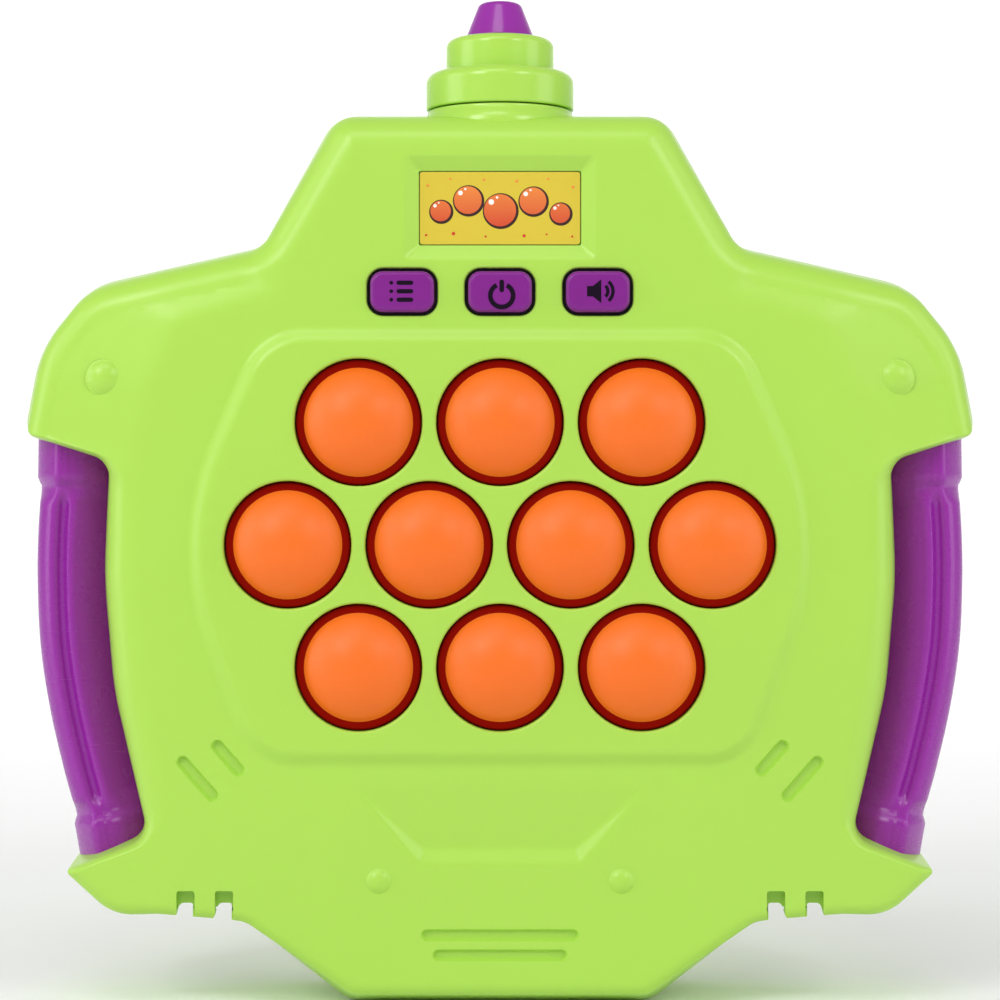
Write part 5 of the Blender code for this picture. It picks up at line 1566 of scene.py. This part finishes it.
def moulded_material(name, depth, values):
    """Material with the moulded finish. Gives it, its tree, shader, bump and finish."""
    material = bpy.data.materials.new(name)
    material.use_nodes = True
    tree = material.node_tree
    shader = tree.nodes["Principled BSDF"]
    bump = tree.nodes.new("ShaderNodeBump")
    bump.inputs["Distance"].default_value = depth
    finish = tree.nodes.new("ShaderNodeGroup")
    finish.node_tree = moulded_group()
    for label, value in values.items():
        finish.inputs[label].default_value = value
    tree.links.new(finish.outputs["Colour"], shader.inputs["Base Color"])
    tree.links.new(finish.outputs["Roughness"], shader.inputs["Roughness"])
    tree.links.new(finish.outputs["Height"], bump.inputs["Height"])
    tree.links.new(bump.outputs["Normal"], shader.inputs["Normal"])
    return material, tree, shader, bump, finish


def plastic(name, shade, gloss, grain=0.3, depth=0.00002, scuffs=0.0, tone=0.06,
            coat=0.0, soft=0.0, metal=0.0, shine=0.5):
    """Moulded material with slight colour and gloss changes and a fine grain."""
    name = "finish_" + name
    found = bpy.data.materials.get(name)
    if found:
        return found
    material, tree, shader, _, finish = moulded_material(
        name, depth,
        {"Colour": (*shade, 1.0), "Shade": tone, "Gloss": gloss, "Grain": grain})
    if scuffs:
        wear = tree.nodes.new("ShaderNodeGroup")
        wear.node_tree = scuff_group()
        wear.inputs["Amount"].default_value = scuffs
        rough = sum_of(tree, "ADD", finish.outputs["Roughness"], wear.outputs["Mask"])
        tree.links.new(rough, shader.inputs["Roughness"])
    shader.inputs["Coat Weight"].default_value = coat
    shader.inputs["Coat Roughness"].default_value = 0.12
    shader.inputs["Metallic"].default_value = metal
    shader.inputs["Specular IOR Level"].default_value = shine
    if soft:
        shader.inputs["Subsurface Weight"].default_value = soft
        shader.inputs["Subsurface Scale"].default_value = 0.002
        shader.inputs["Subsurface Radius"].default_value = (1.0, 0.35, 0.15)
    material.diffuse_color = (*shade, 1.0)
    return material


def paint_finish(name, colours):
    """One of the named finishes, made once from the scene's colours."""
    grain = colours.grain
    shades = {
        "case_green": (colours.green, dict(gloss=0.33, grain=grain, scuffs=0.08,
                                           shine=0.45, tone=0.05)),
        "crown_green": (colours.green, dict(gloss=0.26, grain=0.1, scuffs=0.06,
                                            shine=0.5, coat=0.1, tone=0.04)),
        "trim_purple": (colours.purple, dict(gloss=0.27, grain=grain, scuffs=0.03,
                                             shine=0.45, tone=0.06)),
        # Caps: the grips' purple darkened to 0.72, painted shade that offsets the key light
        # falling full on their faces
        "cap_purple_painted_shade": ([share * 0.72 for share in colours.purple],
                       dict(gloss=0.32, grain=grain, scuffs=0.08, shine=0.3, tone=0.08)),
        "tip_purple": (colours.purple, dict(gloss=0.24, grain=0.1, shine=0.45,
                                            coat=0.1, tone=0.05)),
        "bubble_orange": (colours.orange, dict(gloss=0.44, grain=0.6, depth=0.00003,
                                               shine=0.45, tone=0.04, soft=0.15)),
        # Darker silicone for the skirts, stems and web: painted shade for the holes round
        # the domes
        "mat_silicone": (colours.web_painted_shade, dict(gloss=0.65, grain=0.5, shine=0.03, tone=0.15)),
        "window_yellow": (colours.yellow, dict(gloss=0.34, grain=0.2, tone=0.05)),
        "mark_ink": (colours.mark, dict(gloss=0.4, grain=0.4, shine=0.15, tone=0.1)),
        "black_plastic": ((0.012, 0.012, 0.013), dict(gloss=0.42, grain=0.5, tone=0.2)),
        # Near-black flange under the caps: painted shade for the dark gap round each cap
        "flange_painted_shade": ((0.006, 0.004, 0.007), dict(gloss=0.55, grain=0.5, tone=0.2)),
        "led_white": ((0.80, 0.80, 0.70), dict(gloss=0.25, grain=0.1, tone=0.05)),
        "cell_sleeve": ((0.12, 0.14, 0.17), dict(gloss=0.3, grain=0.3, metal=0.35,
                                                 tone=0.06)),
        "steel": ((0.62, 0.62, 0.63), dict(gloss=0.28, grain=0.4, scuffs=0.25,
                                           metal=1.0, tone=0.15)),
        "nickel": ((0.66, 0.63, 0.57), dict(gloss=0.24, grain=0.3, scuffs=0.2,
                                            metal=1.0, tone=0.12)),
    }
    shade, values = shades[name]
    return plastic(name, tuple(shade), **values)


def board_material(colours):
    """Solder mask with faint copper tracks under it."""
    material, tree, _, bump, finish = moulded_material("finish_board", 0.00004, {})
    place = tree.nodes.new("ShaderNodeTexCoord").outputs["Object"]
    tracks = tree.nodes.new("ShaderNodeTexBrick")
    tracks.inputs["Scale"].default_value = 90.0
    tracks.inputs["Mortar Size"].default_value = 0.03
    tracks.inputs["Color1"].default_value = (*colours.board, 1)
    tracks.inputs["Color2"].default_value = (*[c * 0.8 for c in colours.board], 1)
    tracks.inputs["Mortar"].default_value = (0.10, 0.42, 0.16, 1)
    tree.links.new(place, tracks.inputs["Vector"])
    tree.links.new(tracks.outputs["Color"], finish.inputs["Colour"])
    tree.links.new(tracks.outputs["Fac"], bump.inputs["Height"])
    return material


def print_material(name, light, dark, low, high):
    """Printed ink that runs from one colour to another up the window."""
    material, tree, _, _, finish = moulded_material(name, 0.00001, {"Gloss": 0.34})
    place = tree.nodes.new("ShaderNodeTexCoord").outputs["Object"]
    split = tree.nodes.new("ShaderNodeSeparateXYZ")
    rise = tree.nodes.new("ShaderNodeMapRange")
    rise.inputs["From Min"].default_value = low * MM
    rise.inputs["From Max"].default_value = high * MM
    tree.links.new(place, split.inputs["Vector"])
    tree.links.new(split.outputs["Z"], rise.inputs["Value"])
    tree.links.new(mixed(tree, rise.outputs["Result"], dark, light),
                   finish.inputs["Colour"])
    return material


# Window print: places as shares of the plate's half width and half height, with a size
PRINT_SHARES = (
    (-0.74, -0.08, 2.30), (-0.40, 0.22, 3.10), (0.00, -0.06, 3.60), (0.41, 0.20, 3.00),
    (0.75, -0.14, 2.20),
)
PRINT_DOT_SHARES = (
    (-0.90, 0.62, 0.55), (-0.58, -0.70, 0.70), (-0.20, 0.78, 0.50), (-0.18, -0.78, 0.45),
    (0.21, 0.74, 0.60), (0.30, -0.76, 0.65), (0.60, 0.80, 0.45), (0.58, -0.72, 0.40),
    (0.91, 0.58, 0.60), (0.90, -0.78, 0.45), (-0.92, -0.74, 0.50), (-0.62, 0.80, 0.45),
)


# What a printed disc's size is multiplied by for its radius, and how deep it is sunk
PRINT_RADIUS_SHARE = 0.78
PRINT_SUNK = 0.05

# Rivet-like domes: name, radius, height and place on the right
FACE_DOMES = (("shoulder", 3.05, 1.10, 69.1, 110.2), ("chin", 2.2, 0.85, 21.1, 22.6))


class BUBBLEPOP_OT_case_front(bpy.types.Operator):
    """Build the green front half of the case"""

    bl_idname = "bubble_pop.case_front"
    bl_label = "Case front"

    def execute(self, context):
        green = paint_finish("case_green", scene_sizes("colours"))
        mesh = case_front(scene_sizes("case"), scene_sizes("controls"))
        stood_up("case_front", mesh, [green], "case", ["front_shell"])
        for side, sign in (("right", 1), ("left", -1)):
            stood_up(f"notch_ribs_{side}", notch_ribs(sign), [green], "case", ())
        return {"FINISHED"}


class BUBBLEPOP_OT_case_back(bpy.types.Operator):
    """Build the green back half of the case with its battery well"""

    bl_idname = "bubble_pop.case_back"
    bl_label = "Case back"

    def execute(self, context):
        green = paint_finish("case_green", scene_sizes("colours"))
        mesh = case_back(scene_sizes("case"))
        stood_up("case_back", mesh, [green], "case", ["rear_shell"])
        return {"FINISHED"}


class BUBBLEPOP_OT_rivets(bpy.types.Operator):
    """Put the rivet-like domes on the face"""

    bl_idname = "bubble_pop.rivets"
    bl_label = "Face domes"

    def execute(self, context):
        green = paint_finish("case_green", scene_sizes("colours"))
        drop = scene_sizes("case").shoulder_drop / MM
        for name, radius, height, x, y in FACE_DOMES:
            ball, foot = dome_ball(radius, height)
            profile = [(0, height)] + dome_rows(ball, height - ball, foot, 10)[1:]
            profile += [(radius + 0.2, -0.06), (radius + 0.3, -0.3), (0, -0.3)]
            seat = FACE_Z - shoulder_lean(x, y, drop)
            mesh = repeated(name, [(x, y, seat), (-x, y, seat)],
                            turned("dome", profile, SIDES["rivet"]), green)
            stood_up(f"{name}_domes", mesh, [], "case", ())
        return {"FINISHED"}


class BUBBLEPOP_OT_bubbles(bpy.types.Operator):
    """Build the ten silicone domes and their stems"""

    bl_idname = "bubble_pop.bubbles"
    bl_label = "Bubbles"

    def execute(self, context):
        sizes = scene_sizes("bubbles")
        colours = scene_sizes("colours")
        finishes = [paint_finish(name, colours)
                    for name in ("bubble_orange", "mat_silicone")]
        for index, (x, y) in enumerate(bubble_places()):
            name = f"bubble_{index + 1:02d}"
            mesh = dome_mesh(sizes)
            mesh.transform(Matrix.Translation((x, y, 0)))
            dome = stood_up(name + "_dome", mesh, finishes, None, [name])
            # Faces below the ring take the darker silicone, painted shade for the hole
            # round the dome
            for face in dome.data.polygons:
                face.material_index = int(-face.center.y < BUBBLE_RING_Z * MM)
            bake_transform(dome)
            low, high = BUBBLE_LOW.z, BUBBLE_HIGH.z - sizes.wall / MM - 0.1
            radius = sizes.stem_radius / MM
            profile = [(0, low), (radius - 0.3, low)]
            profile += arc((radius - 0.3, low + 0.3), 0.3, -90, 0, 4)
            profile += [(radius, high - 0.4), (radius - 0.4, high), (0, high)]
            stem = turned("stem", profile, SIDES["stem"])
            stem.transform(Matrix.Translation((x, y, 0)))
            # The stem takes the same darker silicone with its painted shade
            stood_up(name + "_stem", stem, finishes[1:], name, ())
        return {"FINISHED"}


class BUBBLEPOP_OT_buttons(bpy.types.Operator):
    """Build the three caps and the marks on them"""

    bl_idname = "bubble_pop.buttons"
    bl_label = "Buttons"

    def execute(self, context):
        controls = scene_sizes("controls")
        colours = scene_sizes("colours")
        for name, (x, y) in zip(BUTTON_NAMES, button_places()):
            node = name + "_button"
            place = Matrix.Translation((x, y, 0))
            cap = cap_mesh(controls)
            cap.transform(place)
            # The caps take the darkened purple with its painted shade
            stood_up(node + "_cap", cap, [paint_finish("cap_purple_painted_shade", colours)], node,
                     [node])
            low, high = cad_box(node)
            flange = rounded_rectangle(high.x - low.x, high.y - low.y, 2.6, (x, y),
                                       spacing=UNSPACED)
            rim = loft("flange", [lifted(flange, UNDER_FACE_Z - 1.0),
                                  lifted(flange, UNDER_FACE_Z)])
            # The flange is near-black, painted shade for the gap round the cap
            stood_up(node + "_flange", rim, [paint_finish("flange_painted_shade", colours)],
                     node, ())
            mark = joined("mark", [
                flat_shape(outline, CAP_TOP_Z - 0.1, CAP_TOP_Z + 0.085)
                for outline in mark_outlines(name, controls.mark_stroke / MM)])
            mark.transform(place)
            stood_up(node + "_mark", mark, [paint_finish("mark_ink", colours)], node,
                     ())
        return {"FINISHED"}


class BUBBLEPOP_OT_window(bpy.types.Operator):
    """Build the window's plate and its printed discs"""

    bl_idname = "bubble_pop.window"
    bl_label = "Window"

    def execute(self, context):
        colours = scene_sizes("colours")
        top = PLATE_HIGH.z - SLIVER

        def outline(inset):
            return rounded_rectangle(PLATE_WIDTH - 2 * inset, PLATE_HEIGHT - 2 * inset,
                                     0.5, (0, WINDOW_CENTRE_Y), 5, 2.0)

        rings = [lifted(outline(0), PLATE_LOW.z + SLIVER), lifted(outline(0), top - 0.15),
                 lifted(outline(0.04), top - 0.05), lifted(outline(0.15), top)]
        stood_up("window_panel", loft("plate", rings),
                 [paint_finish("window_yellow", colours)], "case", ["window_plate"])
        low_y, high_y = PLATE_LOW.y, PLATE_HIGH.y
        inks = {
            "outlines": print_material("print_dark", (0.05, 0.014, 0.01),
                                       (0.03, 0.008, 0.008), low_y, high_y),
            "discs": print_material("print_warm", (0.85, 0.26, 0.05),
                                    (0.62, 0.035, 0.02), low_y + 2, high_y - 2),
            "glints": print_material("print_light", (0.95, 0.93, 0.88),
                                     (0.90, 0.86, 0.80), low_y, high_y),
        }
        layers = {layer: [] for layer in inks}
        for across, up, size in PRINT_SHARES:
            x, y = across * PLATE_WIDTH / 2, WINDOW_CENTRE_Y + up * PLATE_HEIGHT / 2
            layers["outlines"].append((x + 0.12, y - 0.14, size + 0.42, 0.02))
            layers["discs"].append((x, y, size, 0.04))
            layers["glints"] += [
                (x - size * 0.42, y + size * 0.40, size * 0.17, 0.06),
                (x - size * 0.14, y + size * 0.62, size * 0.08, 0.06)]
        for across, up, size in PRINT_DOT_SHARES:
            x, y = across * PLATE_WIDTH / 2, WINDOW_CENTRE_Y + up * PLATE_HEIGHT / 2
            layers["discs"].append((x, y, size * 0.55, 0.04))
        for layer, items in layers.items():
            discs = []
            for x, y, size, rise in items:
                edge = circle(size * PRINT_RADIUS_SHARE, (x, y), 36)
                discs.append(loft("disc", [lifted(edge, top - PRINT_SUNK),
                                           lifted(edge, top + rise)]))
            stood_up("window_" + layer, joined(layer, discs), [inks[layer]], "case", ())
        return {"FINISHED"}


class BUBBLEPOP_OT_grips(bpy.types.Operator):
    """Build the two side grips"""

    bl_idname = "bubble_pop.grips"
    bl_label = "Grips"

    def execute(self, context):
        purple = paint_finish("trim_purple", scene_sizes("colours"))
        for side, sign in (("right", 1), ("left", -1)):
            stood_up(f"side_grip_{side}", grip_mesh(scene_sizes("grips"), sign), [purple],
                     "case", [f"grip_{side}"])
        return {"FINISHED"}


class BUBBLEPOP_OT_crown(bpy.types.Operator):
    """Build the two-step knob and its tip"""

    bl_idname = "bubble_pop.crown"
    bl_label = "Knob"

    def execute(self, context):
        colours = scene_sizes("colours")
        sizes = scene_sizes("crown")
        collar, tip = crown_meshes(sizes)
        green = paint_finish("crown_green", colours)
        stood_up("knob_steps", collar, [green], "case", ["crown_collar"])
        stood_up("knob_tip", tip, [paint_finish("tip_purple", colours)], "case",
                 ["crown_tip"])
        stood_up("knob_plinth", plinth_mesh(sizes.lower_radius / MM), [green], "case", ())
        return {"FINISHED"}


class BUBBLEPOP_OT_battery_side(bpy.types.Operator):
    """Build the battery door, the screws and the cells"""

    bl_idname = "bubble_pop.battery_side"
    bl_label = "Battery side"

    def execute(self, context):
        colours = scene_sizes("colours")
        green = paint_finish("case_green", colours)
        steel = paint_finish("steel", colours)
        stood_up("battery_cover", door_mesh(), [green], "battery_door", ["battery_door"])
        places = [(x, y, SCREW_SEAT_Z) for x, y in both_sides(SCREW_PLACES)]
        mesh = repeated("case_screws", places, screw_shape(*CASE_SCREW), steel)
        stood_up("case_screws", mesh, [], "case",
                 [f"case_screw_{index}" for index in range(1, 7)])
        mesh = repeated("door_screw", [(0, DOOR_SCREW_Y, COVER_SCREW_SEAT_Z)],
                        screw_shape(*COVER_SCREW), steel)
        stood_up("cover_screw", mesh, [], "battery_door", ["battery_door_screw"])
        wrap = paint_finish("cell_sleeve", colours)
        metal = paint_finish("nickel", colours)
        for index in range(3):
            node = f"battery_{index + 1}"
            low, high = cad_box(node)
            mesh = cell_mesh(low.y + 0.05, high.y - 0.05, (low.x + high.x) / 2,
                             (low.z + high.z) / 2, index != 1)
            cell = stood_up(f"cell_{index + 1}", mesh, [wrap, metal], "case", [node])
            for face in cell.data.polygons:
                from_end = min(face.center.z / MM - low.y, high.y - face.center.z / MM)
                face.material_index = int(from_end < CELL_END)
        return {"FINISHED"}


class BUBBLEPOP_OT_inner_parts(bpy.types.Operator):
    """Give the parts inside their finishes"""

    bl_idname = "bubble_pop.inner_parts"
    bl_label = "Inner parts"

    def execute(self, context):
        colours = scene_sizes("colours")
        board = board_material(colours)
        # The CAD silicone web takes the darker silicone, painted shade for the holes round
        # the domes
        finishes = {"bubble_mat": "mat_silicone", "controller_chip": "black_plastic",
                    "speaker": "black_plastic"}
        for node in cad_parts:
            if node == "main_board":
                paint = board
            elif node in finishes:
                paint = paint_finish(finishes[node], colours)
            elif node.startswith("led_"):
                paint = paint_finish("led_white", colours)
            elif node.endswith("_switch"):
                paint = paint_finish("black_plastic", colours)
            elif node.startswith(("contact_", "board_screw")):
                paint = paint_finish("steel", colours)
            else:
                continue
            for place in bpy.data.objects[node].material_slots:
                place.material = paint
        return {"FINISHED"}


# Floor in metres: half its width, its front edge, where its curve up to the backdrop
# starts, the curve's radius, its steps, and the height of the backdrop
FLOOR_HALF_WIDTH = 3.0
FLOOR_FRONT_Y = -2.5
FLOOR_CURVE_Y = 0.9
FLOOR_CURVE = 0.6
FLOOR_STEPS = 10
BACKDROP_HEIGHT = 3.0

# Lights in metres: name, place, width and height, what it points at, which of the set
# powers it takes, and its share of that
GAME_MIDDLE = (0, 0, 0.09)
BEHIND_GAME = (0, 1.4, 0.3)
LIGHTS = (
    ("upper_left", (-0.60, -0.85, 0.75), (0.36, 0.42), GAME_MIDDLE, "key_power", 1.0),
    ("upper_right", (0.65, -0.85, 0.70), (0.36, 0.42), GAME_MIDDLE, "key_power", 0.7),
    ("above", (-0.10, -0.62, 0.95), (0.5, 0.25), GAME_MIDDLE, "key_power", 0.38),
    ("left", (-0.80, -0.22, 0.24), (0.42, 0.8), GAME_MIDDLE, "side_power", 1.0),
    ("right", (0.80, -0.22, 0.24), (0.42, 0.8), GAME_MIDDLE, "side_power", 0.8),
    ("backdrop", (0.0, 0.62, 0.95), (1.6, 0.3), BEHIND_GAME, "backdrop_power", 1.0),
)


class BUBBLEPOP_OT_stage(bpy.types.Operator):
    """Set up the floor, the lights and the camera"""

    bl_idname = "bubble_pop.stage"
    bl_label = "Stage"

    def execute(self, context):
        sizes = scene_sizes("stage")
        profile = [(FLOOR_FRONT_Y, 0.0), (FLOOR_CURVE_Y, 0.0)]
        for step in range(1, FLOOR_STEPS + 1):
            angle = radians(90 / FLOOR_STEPS * step)
            profile.append((FLOOR_CURVE_Y + FLOOR_CURVE * sin(angle),
                            FLOOR_CURVE - FLOOR_CURVE * cos(angle)))
        profile.append((FLOOR_CURVE_Y + FLOOR_CURVE, BACKDROP_HEIGHT))
        shape = bmesh.new()
        rows = [ring_of(shape, [(-FLOOR_HALF_WIDTH, y, z), (FLOOR_HALF_WIDTH, y, z)])
                for y, z in profile]
        for low, high in zip(rows, rows[1:]):
            shape.faces.new((low[0], low[1], high[1], high[0]))
        mesh = bpy.data.meshes.new("studio_floor")
        shape.to_mesh(mesh)
        shape.free()
        mesh.shade_smooth()
        mesh.materials.append(plastic("floor_paper", (0.94, 0.94, 0.94), 0.8, grain=0.2,
                                      tone=0.01))
        linked("studio_floor", mesh)
        world = bpy.data.worlds.new("studio")
        context.scene.world = world
        world.use_nodes = True
        back = world.node_tree.nodes["Background"]
        back.inputs["Color"].default_value = (1.0, 1.0, 1.0, 1.0)
        back.inputs["Strength"].default_value = sizes.world_strength
        for name, place, size, target, power_name, part in LIGHTS:
            light = bpy.data.lights.new(name, "AREA")
            light.shape = "RECTANGLE"
            light.size, light.size_y = size
            light.energy = getattr(sizes, power_name) * part
            item = linked(name + "_light", light)
            item.location = place
            aim = Vector(target) - Vector(place)
            item.rotation_euler = aim.to_track_quat("-Z", "Y").to_euler()
        camera = bpy.data.cameras.new("camera")
        camera.lens = sizes.lens
        camera.sensor_width = 36.0
        item = linked("camera", camera)
        item.location = (0, -PARTING_Z * MM - sizes.camera_distance,
                         sizes.camera_height)
        item.rotation_euler = (pi / 2, 0, 0)
        context.scene.camera = item
        context.scene.view_settings.view_transform = "Standard"
        return {"FINISHED"}


OPERATORS = (
    BUBBLEPOP_OT_stage, BUBBLEPOP_OT_case_front, BUBBLEPOP_OT_case_back,
    BUBBLEPOP_OT_rivets, BUBBLEPOP_OT_bubbles, BUBBLEPOP_OT_buttons, BUBBLEPOP_OT_window,
    BUBBLEPOP_OT_grips, BUBBLEPOP_OT_crown, BUBBLEPOP_OT_battery_side,
    BUBBLEPOP_OT_inner_parts,
)
GROUPS = {
    "case": BubblePopCaseSizes, "bubbles": BubblePopBubbleSizes,
    "controls": BubblePopControlSizes, "grips": BubblePopGripSizes,
    "crown": BubblePopCrownSizes, "colours": BubblePopColours,
    "stage": BubblePopStageSizes,
}


class BUBBLEPOP_PT_panel(bpy.types.Panel):
    """Sizes, colours and pieces of the game"""

    bl_label = "Bubble Pop"
    bl_idname = "BUBBLEPOP_PT_panel"
    bl_space_type = "VIEW_3D"
    bl_region_type = "UI"
    bl_category = "Bubble Pop"

    def draw(self, context):
        layout = self.layout
        for kind, group in GROUPS.items():
            box = layout.box()
            box.label(text=kind.capitalize())
            for label in group.__annotations__:
                box.prop(scene_sizes(kind), label)
        for operator in OPERATORS:
            layout.operator(operator.bl_idname)


def register():
    """Register the classes and put the sizes and colours on the scene."""
    for group in GROUPS.values():
        bpy.utils.register_class(group)
    for kind, group in GROUPS.items():
        setattr(bpy.types.Scene, "bubble_pop_" + kind, PointerProperty(type=group))
    for operator in OPERATORS:
        bpy.utils.register_class(operator)
    bpy.utils.register_class(BUBBLEPOP_PT_panel)


def unregister():
    """Take the sizes and colours off the scene and unregister the classes."""
    bpy.utils.unregister_class(BUBBLEPOP_PT_panel)
    for operator in reversed(OPERATORS):
        bpy.utils.unregister_class(operator)
    for kind, group in reversed(GROUPS.items()):
        delattr(bpy.types.Scene, "bubble_pop_" + kind)
        bpy.utils.unregister_class(group)


def main():
    """Put the sizes on the scene and build every piece round the CAD frame."""
    register()
    bpy.ops.bubble_pop.stage()
    bpy.ops.bubble_pop.case_front()
    bpy.ops.bubble_pop.case_back()
    bpy.ops.bubble_pop.rivets()
    bpy.ops.bubble_pop.bubbles()
    bpy.ops.bubble_pop.buttons()
    bpy.ops.bubble_pop.window()
    bpy.ops.bubble_pop.grips()
    bpy.ops.bubble_pop.crown()
    bpy.ops.bubble_pop.battery_side()
    bpy.ops.bubble_pop.inner_parts()


if __name__ == "__main__":
    main()
